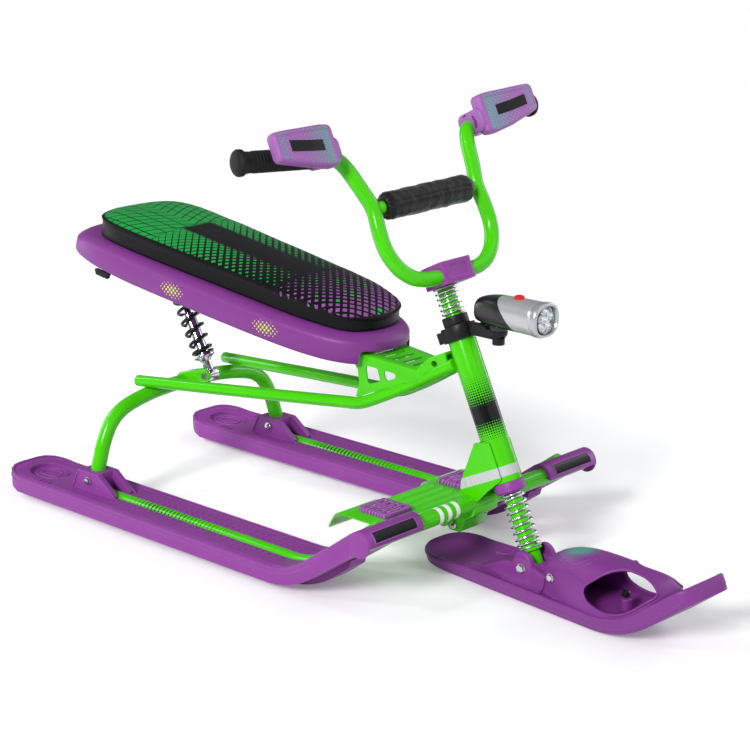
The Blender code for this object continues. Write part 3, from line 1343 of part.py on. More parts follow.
def make_lamp_clamp():
    inner = head_tube_radius + seat_gap
    outer = inner + lamp_clamp_wall
    clamp = rod("lamp_clamp", (0, 0, lamp_clamp_bottom), (0, 0, lamp_clamp_top), outer, steering_axis,
                black_plastic, sides=20)
    lug = block("clamp_lug", (-outer - 0.012, -0.0075, lamp_clamp_bottom + 0.002),
                (-inner - 0.001, 0.0075, lamp_clamp_top - 0.002), steering_axis)
    fuse(clamp, lug)
    cut(clamp, block("clamp_split", (-outer - 0.02, -0.0008, lamp_clamp_bottom - 0.01),
                     (-inner + 0.002, 0.0008, lamp_clamp_top + 0.01), steering_axis))
    tongue_outline = ([(0.186, lamp_tilt_z - 0.0075)] + arc(lamp_tilt_x, lamp_tilt_z, 0.0075, -90.0, 90.0, 8)
                      + [(0.186, lamp_tilt_z + 0.0075)])
    fuse(clamp, prism("clamp_tongue", tongue_outline, 0.010, 'xz', sled))
    cut(clamp, around_head_tube("clamp_bore"))
    cut(clamp, rod("tongue_hole", (lamp_tilt_x, -0.03, lamp_tilt_z), (lamp_tilt_x, 0.03, lamp_tilt_z),
                   tilt_screw_radius + seat_gap, sled, sides=12))


def make_lamp_arm():
    """Fork-ended arm with its tilt screw moulded in, and the round foot that the lamp swivels on."""
    foot_x = lamp_swivel_x - lamp_tilt_x
    foot_z = lamp_foot_z - lamp_tilt_z
    bar = (arc(0, 0, 0.0080, 90.0, 270.0, 8)
           + [(foot_x + 0.004, -0.0080), (foot_x + 0.008, foot_z - 0.008), (foot_x + 0.008, foot_z - 0.0008),
              (foot_x - 0.0135, foot_z - 0.0008), (foot_x - 0.0190, 0.0080)])
    arm = prism("lamp_arm", bar, 0.0190, 'xz', lamp_tilt, black_plastic)
    cut(arm, block("arm_fork", (-0.02, -0.0054, -0.03), (0.0115, 0.0054, 0.03), lamp_tilt))
    fuse(arm, rod("tilt_screw", (0, -0.0085, 0), (0, 0.0085, 0), tilt_screw_radius, lamp_tilt, sides=10))
    fuse(arm, rod("swivel_foot", (foot_x, 0, foot_z - 0.006), (foot_x, 0, foot_z - seat_gap),
                  lamp_foot_radius, lamp_tilt))
    fuse(arm, rod("swivel_knob", (foot_x, 0, -0.016), (foot_x, 0, -0.006), 0.0090, lamp_tilt, sides=14))


def lamp_section(x, half_width, half_height, shift=0.0, count=16):
    """A squarish round section of the lamp across its axis."""
    points = []
    for step in range(count):
        angle = 2 * math.pi * step / count
        across = math.copysign(abs(math.cos(angle)) ** 0.8, math.cos(angle)) * half_width
        up = math.copysign(abs(math.sin(angle)) ** 0.8, math.sin(angle)) * half_height
        points.append((x, across, up + shift))
    return points


def lamp_stations(rear, mouth):
    """The housing's stations from rear to mouth: along, half width, half height, drop of its middle."""
    return ((rear, 0.0105, 0.0120, 0.004), (rear + 0.004, 0.0140, 0.0160, 0.003),
            (rear + 0.020, 0.0185, 0.0205, 0.001), (rear + 0.050, 0.0235, 0.0228, 0.0),
            (mouth - 0.020, lamp_half_width - 0.001, lamp_half_height, 0.0),
            (mouth, lamp_half_width, lamp_half_height, 0.0))


def make_lamp_housing(axis_z, rear, mouth):
    stations = lamp_stations(rear, mouth)
    shell = [lamp_section(x, width, height, axis_z - drop) for x, width, height, drop in stations]
    housing = loft("lamp_housing", shell, lamp_swivel, silver_plastic)
    inside = [lamp_section(x, width - lamp_wall, height - lamp_wall, axis_z - drop)
              for x, width, height, drop in stations[2:-1]]
    inside.insert(0, lamp_section(rear + 0.006, 0.0115, 0.0130, axis_z - 0.003))
    inside.append(lamp_section(mouth + 0.01, lamp_half_width - lamp_wall, lamp_half_height - lamp_wall,
                               axis_z))
    cut(housing, loft("housing_inside", inside, lamp_swivel))
    floor = axis_z - lamp_half_height
    fuse(housing, rod("housing_foot", (0, 0, 0), (0, 0, floor + 0.004), lamp_foot_radius, lamp_swivel))
    button_x = lamp_button_x - lamp_swivel_x
    cut(housing, rod("button_hole", (button_x, 0, axis_z + 0.010), (button_x, 0, axis_z + 0.040),
                     lamp_button_radius + socket_clearance, lamp_swivel))
    top = axis_z + lamp_half_height
    turned("lamp_button", [(0, 0.0045), (lamp_button_radius - 0.002, 0.0042), (lamp_button_radius, 0.0025),
                           (lamp_button_radius, -0.0035), (0, -0.0035)],
           lamp_swivel, signal_red, at=(button_x, 0, top))


def make_lamp_front(axis_z, mouth, front):
    """Bezel, lens and the reflector cup behind it."""
    width, height = lamp_half_width + 0.0010, lamp_half_height + 0.0010
    bezel = loft("lamp_bezel", [lamp_section(mouth + seat_gap, width, height, axis_z),
                                lamp_section(front - 0.003, width, height, axis_z),
                                lamp_section(front, width - 0.002, height - 0.002, axis_z)],
                 lamp_swivel, silver_plastic)
    cup = lamp_lens_radius
    cut(bezel, rod("bezel_bore", (mouth - 0.01, 0, axis_z), (front + 0.01, 0, axis_z), cup + seat_gap,
                   lamp_swivel))
    lens_back = front - 0.0055
    turned("lamp_lens", [(0, 0.0045), (cup * 0.55, 0.0038), (cup, 0.0020), (cup, 0.0), (0, 0.0)],
           lamp_swivel, clear_plastic, at=(lens_back, 0, axis_z), along=(1, 0, 0))
    turned("lamp_reflector", [(0, -0.0180), (0.0040, -0.0178), (cup * 0.48, -0.0150), (cup * 0.77, -0.0080),
                              (cup - 0.0016, 0.0), (cup, 0.0), (cup * 0.82, -0.0090), (cup * 0.50, -0.0170),
                              (0.0045, -0.0200), (0, -0.0200)],
           lamp_swivel, mirror_chrome, at=(lens_back - seat_gap, 0, axis_z), along=(1, 0, 0))


def make_lamp():
    """Housing with its bezel, lens, reflector and battery; a press button sits in its top."""
    axis_z = lamp_axis_z - lamp_foot_z
    rear = lamp_rear - lamp_swivel_x
    front = lamp_front - lamp_swivel_x
    mouth = front - lamp_bezel_length - seat_gap
    make_lamp_housing(axis_z, rear, mouth)
    make_lamp_front(axis_z, mouth, front)
    battery_z = axis_z - 0.0085
    rod("lamp_battery", (rear + 0.021, 0, battery_z), (mouth - 0.0165, 0, battery_z), lamp_battery_radius,
        lamp_swivel, zinc_steel)


make_head_tube()
make_bushes()
make_cross_tube()
make_rear_arch()
make_seat_rails()
make_runner_tubes()
make_head_gusset()
make_seat_bracket()
make_shock_bracket()
make_tow_bracket()
for ski_label, ski_side in sides:
    make_rear_ski(ski_label, ski_side)
make_fork()
make_steering_springs()
handlebar_path = make_handlebar()
make_stem_clamp()
make_crossbar(handlebar_path)
for hand_label, hand_side in sides:
    make_grip(hand_label, hand_side)
    make_hand_guard(hand_label, hand_side)
make_front_ski()
make_cowl()
make_cowl_fasteners()
make_seat_pan()
make_seat_cushion()
make_shock_upper_bracket()
make_seat_bumper()
make_shock()
make_brake()
for foot_label, foot_side in sides:
    make_brake_pad(foot_label, foot_side)
make_brake_spring()
make_lamp_clamp()
make_lamp_arm()
make_lamp()
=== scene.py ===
import json
import math
import bmesh
import bpy
from mathutils import Matrix, Vector, noise


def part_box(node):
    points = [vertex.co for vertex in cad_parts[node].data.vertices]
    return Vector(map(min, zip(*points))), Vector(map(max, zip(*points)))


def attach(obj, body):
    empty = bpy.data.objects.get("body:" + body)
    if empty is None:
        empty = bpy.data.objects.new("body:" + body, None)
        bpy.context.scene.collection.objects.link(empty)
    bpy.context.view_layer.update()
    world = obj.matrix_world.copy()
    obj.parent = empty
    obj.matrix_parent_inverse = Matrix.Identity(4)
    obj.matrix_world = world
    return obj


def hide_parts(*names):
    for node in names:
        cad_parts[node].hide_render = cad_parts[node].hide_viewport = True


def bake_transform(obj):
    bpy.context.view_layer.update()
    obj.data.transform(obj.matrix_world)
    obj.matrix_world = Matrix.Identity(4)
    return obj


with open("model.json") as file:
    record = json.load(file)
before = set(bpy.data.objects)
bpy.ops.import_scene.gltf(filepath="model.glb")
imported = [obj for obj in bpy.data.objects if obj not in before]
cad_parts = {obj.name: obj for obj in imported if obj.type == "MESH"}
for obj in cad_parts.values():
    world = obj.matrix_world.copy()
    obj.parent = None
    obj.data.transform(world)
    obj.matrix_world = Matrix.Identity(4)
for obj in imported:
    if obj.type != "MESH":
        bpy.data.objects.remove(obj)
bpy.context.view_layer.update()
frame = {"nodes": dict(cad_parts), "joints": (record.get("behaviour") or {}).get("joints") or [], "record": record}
nodes = frame["nodes"]
jointPlace = {joint["name"]: Vector(joint["pos_m"]) for joint in frame["joints"] if "pos_m" in joint}
bodyOf = {node: body for body, names in frame["record"]["behaviour"]["bodies"].items() for node in names}
mm = 0.001
print("frame loaded:", len(nodes), "nodes")


# Frames of the moving groups, the same as the frame's joints

rake = math.radians(25.0)
steerTurn = math.radians(-6.0)
seatTilt = math.radians(8.0)
shockLean = math.radians(28.7)
axisUp = Vector((-math.sin(rake), 0, math.cos(rake)))
axisFoot = jointPlace["steering"] - axisUp * (jointPlace["steering"].z / axisUp.z)
footFromRear = 0.338      # the sled's own origin lies this far behind the foot of the steering axis
pivotHeight = jointPlace["front_ski_pitch"].z / math.cos(rake)

sledFrame = Matrix.Translation((axisFoot.x - footFromRear, 0, 0))
steeringFrame = Matrix.Translation(axisFoot) @ Matrix.Rotation(-rake, 4, 'Y')
columnFrame = steeringFrame @ Matrix.Rotation(steerTurn, 4, 'Z')
frontFrame = columnFrame @ Matrix.Translation((0, 0, pivotHeight)) @ Matrix.Rotation(rake, 4, 'Y')
seatFrame = Matrix.Translation(jointPlace["seat_hinge"]) @ Matrix.Rotation(seatTilt, 4, 'Y')
shockFrame = Matrix.Translation(jointPlace["shock_swing"]) @ Matrix.Rotation(-shockLean, 4, 'Y')
brakeFrame = Matrix.Translation(jointPlace["brake_pivot"])
lampFrame = Matrix.Translation(jointPlace["lamp_swivel"])
bothSides = (("Right", -1), ("Left", 1))


# Camera, lamps and floor

cameraSettings = {"place": (2.0018, -2.1449, 1.0989), "yaw": 42.92, "pitch": 15.98, "lens": 98.0,
                  "sensor": 36.0}
lightSettings = {"key": (2.75, (60.0, 0.0, 12.0), 15.0), "side": (0.50, (58.0, 0.0, 95.0), 60.0),
                 "back": (0.55, (50.0, 0.0, 150.0), 60.0), "glint": (0.35, (48.0, 0.0, -22.0), 5.0),
                 "world": 0.25, "floorGlow": 0.17, "floorColour": "#F2F2F2", "floorSize": 60.0,
                 "strips": [(-1.9, -0.6, 0.9), (0.6, 2.0, 0.9)], "stripWidth": 0.25, "stripHeight": 1.5,
                 "stripPower": 9.0}


def newObject(name, data):
    thing = bpy.data.objects.new(name, data)
    bpy.context.scene.collection.objects.link(thing)
    return thing


def makeCamera():
    data = bpy.data.cameras.new("studioCamera")
    data.lens = cameraSettings["lens"]
    data.sensor_width = cameraSettings["sensor"]
    data.clip_end = 60
    camera = newObject("studioCamera", data)
    camera.location = sledFrame @ Vector(cameraSettings["place"])
    tilt = math.radians(90 - cameraSettings["pitch"])
    camera.rotation_euler = (tilt, 0, math.radians(cameraSettings["yaw"]))
    bpy.context.scene.camera = camera


makeCamera()


# Node helpers

def linear(hexCode):
    channels = [int(hexCode[i:i + 2], 16) / 255 for i in (1, 3, 5)]
    return (*[c / 12.92 if c <= 0.04045 else ((c + 0.055) / 1.055) ** 2.4 for c in channels], 1.0)


def addNode(tree, kind, inputs=None, **settings):
    node = tree.nodes.new("ShaderNode" + kind)
    for name, value in settings.items():
        setattr(node, name, value)
    for socket, value in (inputs or {}).items():
        if isinstance(value, bpy.types.Node):
            mixed = value.bl_idname == "ShaderNodeMix" and value.data_type == 'RGBA'
            value = value.outputs[2 if mixed else 0]
        if isinstance(value, bpy.types.NodeSocket):
            tree.links.new(value, node.inputs[socket])
        else:
            node.inputs[socket].default_value = value
    return node


def newMaterial(name):
    material = bpy.data.materials.new(name)
    material.use_nodes = True
    material.node_tree.nodes.clear()
    return material, material.node_tree


def inFrame(tree, place):
    # coordinates measured in one of the moving frames, in metres
    turn = place.to_3x3().transposed()
    coordinates = addNode(tree, "TexCoord").outputs["Object"]
    return addNode(tree, "Mapping", {"Vector": coordinates, "Rotation": turn.to_euler('XYZ'),
                                     "Location": -(turn @ place.translation)})


def rampBetween(tree, value, low, high):
    # 0 at low, 1 at high, eased; high may lie below low
    return addNode(tree, "MapRange", {"Value": value, "From Min": low, "From Max": high},
                   interpolation_type='SMOOTHSTEP')


def allOf(tree, first, *others):
    # product of masks: 1 only where every one of them is 1
    for other in others:
        first = addNode(tree, "Math", {0: first, 1: other}, operation='MULTIPLY')
    return first


def repeating(tree, value, pitch, share):
    # 1 over the first share of every pitch along a value
    steps = addNode(tree, "Math", {0: value, 1: pitch}, operation='DIVIDE')
    phase = addNode(tree, "Math", {0: steps}, operation='FRACT')
    return addNode(tree, "Math", {0: phase, 1: share}, operation='LESS_THAN')


def inked(tree, mask, colour, ink):
    # the named print colour laid over a colour where the mask is 1
    return addNode(tree, "Mix", {0: mask, 6: colour, 7: linear(printColours[ink])}, data_type='RGBA')


def bandBetween(tree, value, low, high):
    # 1 between low and high, 0 outside
    soft = 0.3 * mm
    rise = rampBetween(tree, value, low - soft, low + soft)
    fall = rampBetween(tree, value, high + soft, high - soft)
    return allOf(tree, rise, fall)


def dotScreen(tree, vector, pitch, share, metric='EUCLIDEAN'):
    # printed dots on a square screen, each with a radius of share times the pitch, or squares by
    # another metric
    cells = addNode(tree, "TexVoronoi", {"Vector": vector, "Scale": 1 / pitch, "Randomness": 0.0},
                    voronoi_dimensions='2D', distance=metric)
    spare = addNode(tree, "Math", {0: share, 1: cells}, operation='SUBTRACT')
    return addNode(tree, "MapRange", {"Value": spare, "From Min": -0.03, "From Max": 0.03})


def makeStage():
    world = bpy.data.worlds.new("studioWorld")
    world.use_nodes = True
    tree = world.node_tree
    tree.nodes.clear()
    rays = addNode(tree, "LightPath")
    seen = addNode(tree, "Math", {0: rays.outputs["Is Camera Ray"], 1: rays.outputs["Is Transmission Ray"]},
                   operation='MAXIMUM')
    dim = addNode(tree, "Background", {"Color": linear("#F6F8FF"), "Strength": lightSettings["world"]})
    white = addNode(tree, "Background", {"Color": (1, 1, 1, 1), "Strength": 1.0})
    both = addNode(tree, "MixShader", {0: seen, 1: dim, 2: white})
    addNode(tree, "OutputWorld", {"Surface": both})
    bpy.context.scene.world = world

    for name in ("key", "side", "back", "glint"):
        strength, turns, softness = lightSettings[name]
        sun = bpy.data.lights.new(name + "Lamp", 'SUN')
        sun.energy = strength
        sun.angle = math.radians(softness)
        newObject(name + "Lamp", sun).rotation_euler = [math.radians(turn) for turn in turns]

    # two upright strip boxes behind the sled draw the long highlights on its tubes
    for index, place in enumerate(lightSettings["strips"]):
        box = bpy.data.lights.new(f"stripBox{index + 1}", 'AREA')
        box.shape = 'RECTANGLE'
        box.size = lightSettings["stripWidth"]
        box.size_y = lightSettings["stripHeight"]
        box.energy = lightSettings["stripPower"]
        lamp = newObject(box.name, box)
        lamp.location = place
        lamp.rotation_euler = (Vector(place) - Vector((0, 0, 0.35))).to_track_quat('Z', 'Y').to_euler()
        lamp.visible_camera = False

    material, tree = newMaterial("paleFloor")
    rays = addNode(tree, "LightPath")
    seen = addNode(tree, "Math", {0: rays.outputs["Is Camera Ray"], 1: rays.outputs["Is Glossy Ray"]},
                   operation='MAXIMUM')
    seen = addNode(tree, "Math", {0: seen, 1: rays.outputs["Is Transmission Ray"]}, operation='MAXIMUM')
    matt = addNode(tree, "BsdfDiffuse", {"Color": linear(lightSettings["floorColour"])})
    glow = addNode(tree, "Emission", {"Color": (1, 1, 1, 1), "Strength": lightSettings["floorGlow"]})
    lit = addNode(tree, "AddShader", {0: matt, 1: glow})
    both = addNode(tree, "MixShader", {0: seen, 1: matt, 2: lit})
    addNode(tree, "OutputMaterial", {"Surface": both})
    half = lightSettings["floorSize"] / 2
    mesh = bpy.data.meshes.new("floor")
    corners = [(-half, -half, 0), (half, -half, 0), (half, half, 0), (-half, half, 0)]
    mesh.from_pydata(corners, [], [(0, 1, 2, 3)])
    mesh.materials.append(material)
    floor = newObject("floor", mesh)


makeStage()
bpy.context.scene.view_settings.view_transform = 'Standard'
print("stage made")


# Materials

printColours = {"headTubeDots": "#0C0D0C", "tapeLight": "#C9CCCB", "tapeDark": "#9DA19F",
                # the pale brake pad ink here is no print: it is a painted highlight
                "tubeStripes": "#E9ECE8", "runnerTicks": "#16340C", "brakePadHighlights": "#C9A3D4",
                # the deep purple ink here is no print: it is painted shade laid over the front ski, its cowl and
                # the seat pan
                "paintedShadePurple": "#4F1C5A", "cowlDots": "#4C9486", "guardTint": "#B98CCB",
                "guardDots": "#2FA585", "panDots": "#C4D23A", "vinylDark": "#0A0A0B",
                "vinylLight": "#18181A", "spotMauve": "#8A5294", "spotGreen": "#2FA84A",
                "printRear": "#1A9440", "printFront": "#1E9E45"}
# polyester powder baked on steel tube: even glossy colour with a faint orange peel
coatSettings = {"tones": ("#3CBB00", "#4CCA00"), "cloudPitch": 45 * mm, "cloudDetail": 2.0, "edge": None,
                "grainPitch": 3.0 * mm, "grainDetail": 1.0, "gloss": (0.13, 0.24), "bump": 0.04,
                "depth": 0.10 * mm, "ior": 1.5, "specular": 0.30,
                "slot": "green_coated_steel"}
# injection moulded polyethylene: waxy purple with a fine grain; its paler edges are partly wear and partly a
# painted highlight
plasticSettings = {"tones": ("#7F3488", "#893B93"), "cloudPitch": 60 * mm, "cloudDetail": 3.0,
                   "edge": "#B47AC0", "grainPitch": 0.9 * mm, "grainDetail": 2.0, "gloss": (0.35, 0.52),
                   "bump": 0.16, "depth": 0.12 * mm, "ior": 1.51, "specular": 0.32,
                   "slot": "purple_plastic"}


def colouredSurface(name, s, printed=None):
    # common build of the coloured finishes: two close tones in a soft cloud, paler edges (part wear, part painted
    # highlight), print and grain
    material, tree = newMaterial(name)
    place = addNode(tree, "TexCoord").outputs["Object"]
    cloud = addNode(tree, "TexNoise", {"Vector": place, "Scale": 1 / s["cloudPitch"],
                                       "Detail": s["cloudDetail"]})
    first, second = (linear(tone) for tone in s["tones"])
    colour = addNode(tree, "Mix", {0: cloud, 6: first, 7: second}, data_type='RGBA')
    if s["edge"]:
        # paler rims where the rounded normal bends away from the face: partly wear, partly a painted highlight
        # along the edges
        rounded = addNode(tree, "Bevel", {"Radius": 1.2 * mm}, samples=4)
        normal = addNode(tree, "NewGeometry").outputs["Normal"]
        facing = addNode(tree, "VectorMath", {0: rounded, 1: normal}, operation='DOT_PRODUCT')
        wearAndHighlight = addNode(tree, "MapRange", {"Value": facing.outputs["Value"], "From Min": 0.995,
                                          "From Max": 0.90, "To Max": 0.45})
        colour = addNode(tree, "Mix", {0: wearAndHighlight, 6: colour, 7: linear(s["edge"])}, data_type='RGBA')
    grain = addNode(tree, "TexNoise", {"Vector": place, "Scale": 1 / s["grainPitch"],
                                       "Detail": s["grainDetail"]})
    shiny, dull = s["gloss"]
    roughness = addNode(tree, "MapRange", {"Value": grain, "To Min": shiny, "To Max": dull})
    if printed:
        colour, roughness = printed(tree, colour, roughness)
    bump = addNode(tree, "Bump", {"Height": grain, "Strength": s["bump"], "Distance": s["depth"]})
    shader = addNode(tree, "BsdfPrincipled", {"Base Color": colour, "Roughness": roughness, "Normal": bump,
                                              "IOR": s["ior"], "Specular IOR Level": s["specular"]})
    addNode(tree, "OutputMaterial", {"Surface": shader})
    return material


def plainSurface(name, slotName, dark, light, roughness, grainPitch, depth, **shaderValues):
    # common build of the plain finishes: two close tones, a grain in colour, gloss and height, its pitch
    # and depth in mm
    material, tree = newMaterial(name)
    place = addNode(tree, "TexCoord").outputs["Object"]
    grainField = addNode(tree, "TexNoise", {"Vector": place, "Scale": 1 / (grainPitch * mm),
                                            "Detail": 3.0})
    colour = addNode(tree, "Mix", {0: grainField, 6: linear(dark), 7: linear(light)}, data_type='RGBA')
    gloss = addNode(tree, "MapRange", {"Value": grainField, "To Min": roughness * 0.8,
                                       "To Max": roughness * 1.25})
    bump = addNode(tree, "Bump", {"Height": grainField, "Strength": 0.25, "Distance": depth * mm})
    inputs = {"Base Color": colour, "Roughness": gloss, "Normal": bump}
    if "Metallic" not in shaderValues:
        inputs["Specular IOR Level"] = 0.20
    inputs.update({key.replace("_", " "): value for key, value in shaderValues.items()})
    addNode(tree, "OutputMaterial", {"Surface": addNode(tree, "BsdfPrincipled", inputs)})
    return material


greenSteel = colouredSurface("powderCoatedSteel", coatSettings)
purplePlastic = colouredSurface("mouldedPolyethylene", plasticSettings)
# moulded nylon: satin black with a fine spark grain
blackNylon = plainSurface("mouldedNylon", "black_plastic", "#101012", "#1B1B1E", 0.38, 0.7, 0.08, IOR=1.53)
# natural rubber of the grips: dull black, slightly dusty in the hollows
gripRubber = plainSurface("mouldedRubber", "black_rubber", "#0D0D0E", "#1A1A1B", 0.58, 1.1, 0.15, IOR=1.52)
# chrome on steel: bright mirror with hardly any haze
chromedSteel = plainSurface("chromedSteel", "chromed_steel", "#C9CBCE", "#E3E4E6", 0.12, 3.0, 0.01,
                            Metallic=1.0)
# bright zinc plate: greyer and duller than chrome, with a cloudy spangle
zincSteel = plainSurface("zincPlatedSteel", "zinc_steel", "#9C9EA2", "#C6C8CB", 0.30, 1.5, 0.02,
                         Metallic=1.0)
# black oxide and lacquer on spring steel: glossy black
blackSteel = plainSurface("lacqueredSpringSteel", "black_steel", "#0B0B0C", "#151517", 0.26, 2.0, 0.04,
                          IOR=1.5, Coat_Weight=0.4, Coat_Roughness=0.1)
# red translucent cap of the lamp's switch
redPlastic = plainSurface("mouldedRedPlastic", "red_plastic", "#B8171A", "#CF2A22", 0.28, 1.0, 0.03,
                          IOR=1.5)
# bare label: smooth black film with a satin face
labelFilm = plainSurface("satinLabelFilm", "black_plastic", "#0A0A0B", "#131315", 0.30, 4.0, 0.01, IOR=1.5)
# aluminium layer in the lamp's cup
mirrorCup = plainSurface("aluminisedCup", "mirrored_cup", "#D8DADC", "#F0F1F2", 0.06, 5.0, 0.01,
                         Metallic=1.0)
print("materials made")


# Shape helpers

def around(count):
    # angles of a full turn in equal steps
    return [2 * math.pi * step / count for step in range(count)]


def smoothPath(points, perSpan=6, closed=False):
    # Catmull-Rom curve through the points
    points = [Vector(point) for point in points]
    count = len(points)
    samples = []
    for index in range(count if closed else count - 1):
        if closed:
            a, b, c, d = (points[(index + shift) % count] for shift in (-1, 0, 1, 2))
        else:
            b, c = points[index], points[index + 1]
            a = points[index - 1] if index else b * 2 - c
            d = points[index + 2] if index + 2 < count else c * 2 - b
        for step in range(perSpan):
            t = step / perSpan
            samples.append(0.5 * ((2 * b) + (c - a) * t + (2 * a - 5 * b + 4 * c - d) * t * t
                                  + (3 * b - a - 3 * c + d) * t ** 3))
    if not closed:
        samples.append(points[-1])
    return samples


def arcPoints(centre, radius, start, end, steps):
    angles = [math.radians(start + (end - start) * step / steps) for step in range(steps + 1)]
    return [(centre[0] + radius * math.cos(a), centre[1] + radius * math.sin(a)) for a in angles]


def roundCorners(corners, radius, steps=6, closed=True):
    # a polygon or open line whose corners become arcs
    count = len(corners)
    outline = []
    for index in range(count):
        if not closed and index in (0, count - 1):
            outline.append(tuple(corners[index]))
            continue
        corner = Vector(corners[index]).to_2d()
        before = Vector(corners[index - 1]).to_2d()
        after = Vector(corners[(index + 1) % count]).to_2d()
        back = (before - corner).normalized()
        ahead = (after - corner).normalized()
        half = math.acos(max(-1.0, min(1.0, back.dot(ahead)))) / 2
        if half > math.radians(89):
            outline.append(tuple(corner))
            continue
        reach = min(radius / math.tan(half), (before - corner).length * 0.48, (after - corner).length * 0.48)
        fillet = reach * math.tan(half)
        centre = corner + (back + ahead).normalized() * math.hypot(reach, fillet)
        first = corner + back * reach - centre
        last = corner + ahead * reach - centre
        sweep = first.angle_signed(last)
        for step in range(steps + 1):
            outline.append(tuple(centre + Matrix.Rotation(-sweep * step / steps, 2) @ first))
    return outline


def squared(value):
    # pushes a sine or cosine outwards, so that an oval turns towards a rounded square
    return math.copysign(abs(value) ** 0.8, value)


def insetOutline(outline, distance):
    moved = []
    count = len(outline)
    for index in range(count):
        along = Vector(outline[(index + 1) % count]).to_2d() - Vector(outline[index - 1]).to_2d()
        normal = Vector((-along.y, along.x)).normalized()
        moved.append(Vector(outline[index]).to_2d() + normal * distance)
    return moved


def alongAxis(origin, direction):
    # frame at origin whose Z runs along direction
    turn = Vector(direction).to_track_quat('Z', 'Y').to_matrix().to_4x4()
    return Matrix.Translation(origin) @ turn


def addLoft(bm, rings, startCap=True, endCap=True):
    rows = [[bm.verts.new(point) for point in ring] for ring in rings]
    count = len(rows[0])
    for low, high in zip(rows, rows[1:]):
        for index in range(count):
            following = (index + 1) % count
            bm.faces.new((low[index], low[following], high[following], high[index]))
    if startCap:
        bm.faces.new(list(reversed(rows[0])))
    if endCap:
        bm.faces.new(rows[-1])
    return rows


def addLathe(bm, profile, sides=48, place=None, ring=False, turn=0.0):
    # a profile of (radius, height) turned about Z; it closes on itself where ring is set
    place = place or Matrix.Identity(4)
    rows = []
    for radius, height in profile:
        if radius < 1e-7:
            rows.append([bm.verts.new(place @ Vector((0, 0, height)))])
            continue
        rows.append([bm.verts.new(place @ Vector((radius * math.cos(a), radius * math.sin(a), height)))
                     for a in (turn + angle for angle in around(sides))])
    pairs = list(zip(rows, rows[1:]))
    if ring:
        pairs.append((rows[-1], rows[0]))
    for low, high in pairs:
        for index in range(sides):
            following = (index + 1) % sides
            corners = [low[index % len(low)], low[following % len(low)],
                       high[following % len(high)], high[index % len(high)]]
            corners = list(dict.fromkeys(corners))
            if len(corners) > 2:
                bm.faces.new(corners)


def addSleeve(bm, low, high, outer, inner, edge=0.3 * mm, steps=2, sides=48, place=None):
    # turned ring with rounded edges
    profile = [(outer, low), (outer, high), (inner, high), (inner, low)]
    addLathe(bm, roundCorners(profile, edge, steps), sides, place, ring=True)


def addTube(bm, path, radius, sides=32, rounding=1.0 * mm):
    # round bar along a path, its frame carried along without twist; the ends are rounded off
    path = [Vector(point) for point in path]
    tangents = [(after - before).normalized()
                for before, after in zip([path[0]] + path, path[1:] + [path[-1]])]
    side = tangents[0].orthogonal().normalized()
    cap = [(rounding * (1 - math.cos(a)), radius - rounding * (1 - math.sin(a)))
           for a in (math.pi / 2 * step / 4 for step in range(5))]
    rings = []
    for index, (point, tangent) in enumerate(zip(path, tangents)):
        side = (side - tangent * side.dot(tangent)).normalized()
        other = tangent.cross(side)
        sizes = [(0.0, radius)]
        if index == 0:
            sizes = cap
        elif index == len(path) - 1:
            sizes = [(-back, size) for back, size in reversed(cap)]
        for shift, size in sizes:
            rings.append([point + tangent * shift + (side * math.cos(a) + other * math.sin(a)) * size
                          for a in around(sides)])
    addLoft(bm, rings)


def addRope(bm, path, radius, sides=12):
    # round bead along a closed path
    count = len(path)
    rows = []
    side = (path[1] - path[-1]).normalized().orthogonal().normalized()
    for index, point in enumerate(path):
        tangent = (path[(index + 1) % count] - path[index - 1]).normalized()
        side = (side - tangent * side.dot(tangent)).normalized()
        other = tangent.cross(side)
        rows.append([bm.verts.new(point + (side * math.cos(a) + other * math.sin(a)) * radius)
                     for a in around(sides)])
    first = [vert.co.copy() for vert in rows[0]]
    shift = min(range(sides), key=lambda k: (rows[-1][0].co - first[k]).length)
    pairs = list(zip(rows, rows[1:])) + [(rows[-1], rows[0][shift:] + rows[0][:shift])]
    for low, high in pairs:
        for k in range(sides):
            bm.faces.new((low[k], low[(k + 1) % sides], high[(k + 1) % sides], high[k]))


def helixPath(radius, bottom, top, turns, wire):
    # a coil whose first and last turn lie nearly closed
    perTurn = 28
    closedRise = 2.3 * wire
    free = (top - bottom - 2 * wire - 2 * closedRise) / (turns - 2)
    path = []
    for step in range(round(turns * perTurn) + 1):
        turn = step / perTurn
        height = bottom + wire + closedRise * min(turn, 1.0)
        height += free * min(max(turn - 1.0, 0.0), turns - 2.0)
        height += closedRise * max(turn - (turns - 1.0), 0.0)
        angle = 2 * math.pi * turn
        path.append(Vector((radius * math.cos(angle), radius * math.sin(angle), height)))
    return path


def addPrism(bm, outline, thickness, plane, centre=0.0):
    # a flat outline given thickness across its plane
    rings = []
    for shift in (-thickness / 2, thickness / 2):
        across = centre + shift
        rings.append([{'xy': (u, v, across), 'xz': (u, across, v), 'yz': (across, u, v)}[plane]
                      for u, v in outline])
    addLoft(bm, rings)


def toMesh(name, bm, place):
    bm.transform(place)
    bmesh.ops.recalc_face_normals(bm, faces=bm.faces)
    mesh = bpy.data.meshes.new(name)
    bm.to_mesh(mesh)
    bm.free()
    return mesh


def nodeOf(name):
    # the node that a piece stands for has the piece's name in small letters and underscores
    return "".join("_" + letter.lower() if letter.isupper() else letter for letter in name)


def dressed(name, mesh, material, body=None):
    # makes the piece, hides the frame's node that it stands for, hangs it on the body it rides on and gives it its
    # material
    mesh.shade_smooth()
    mesh.materials.append(material)
    piece = newObject(name, mesh)
    node = nodeOf(name)
    if node in nodes:
        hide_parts(node)
    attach(piece, body or bodyOf[node])
    return piece


def newPiece(name, bm, place, material, sharp=40.0, body=None):
    piece = dressed(name, toMesh(name, bm, place), material, body)
    piece.data.set_sharp_from_angle(angle=math.radians(sharp))
    return piece


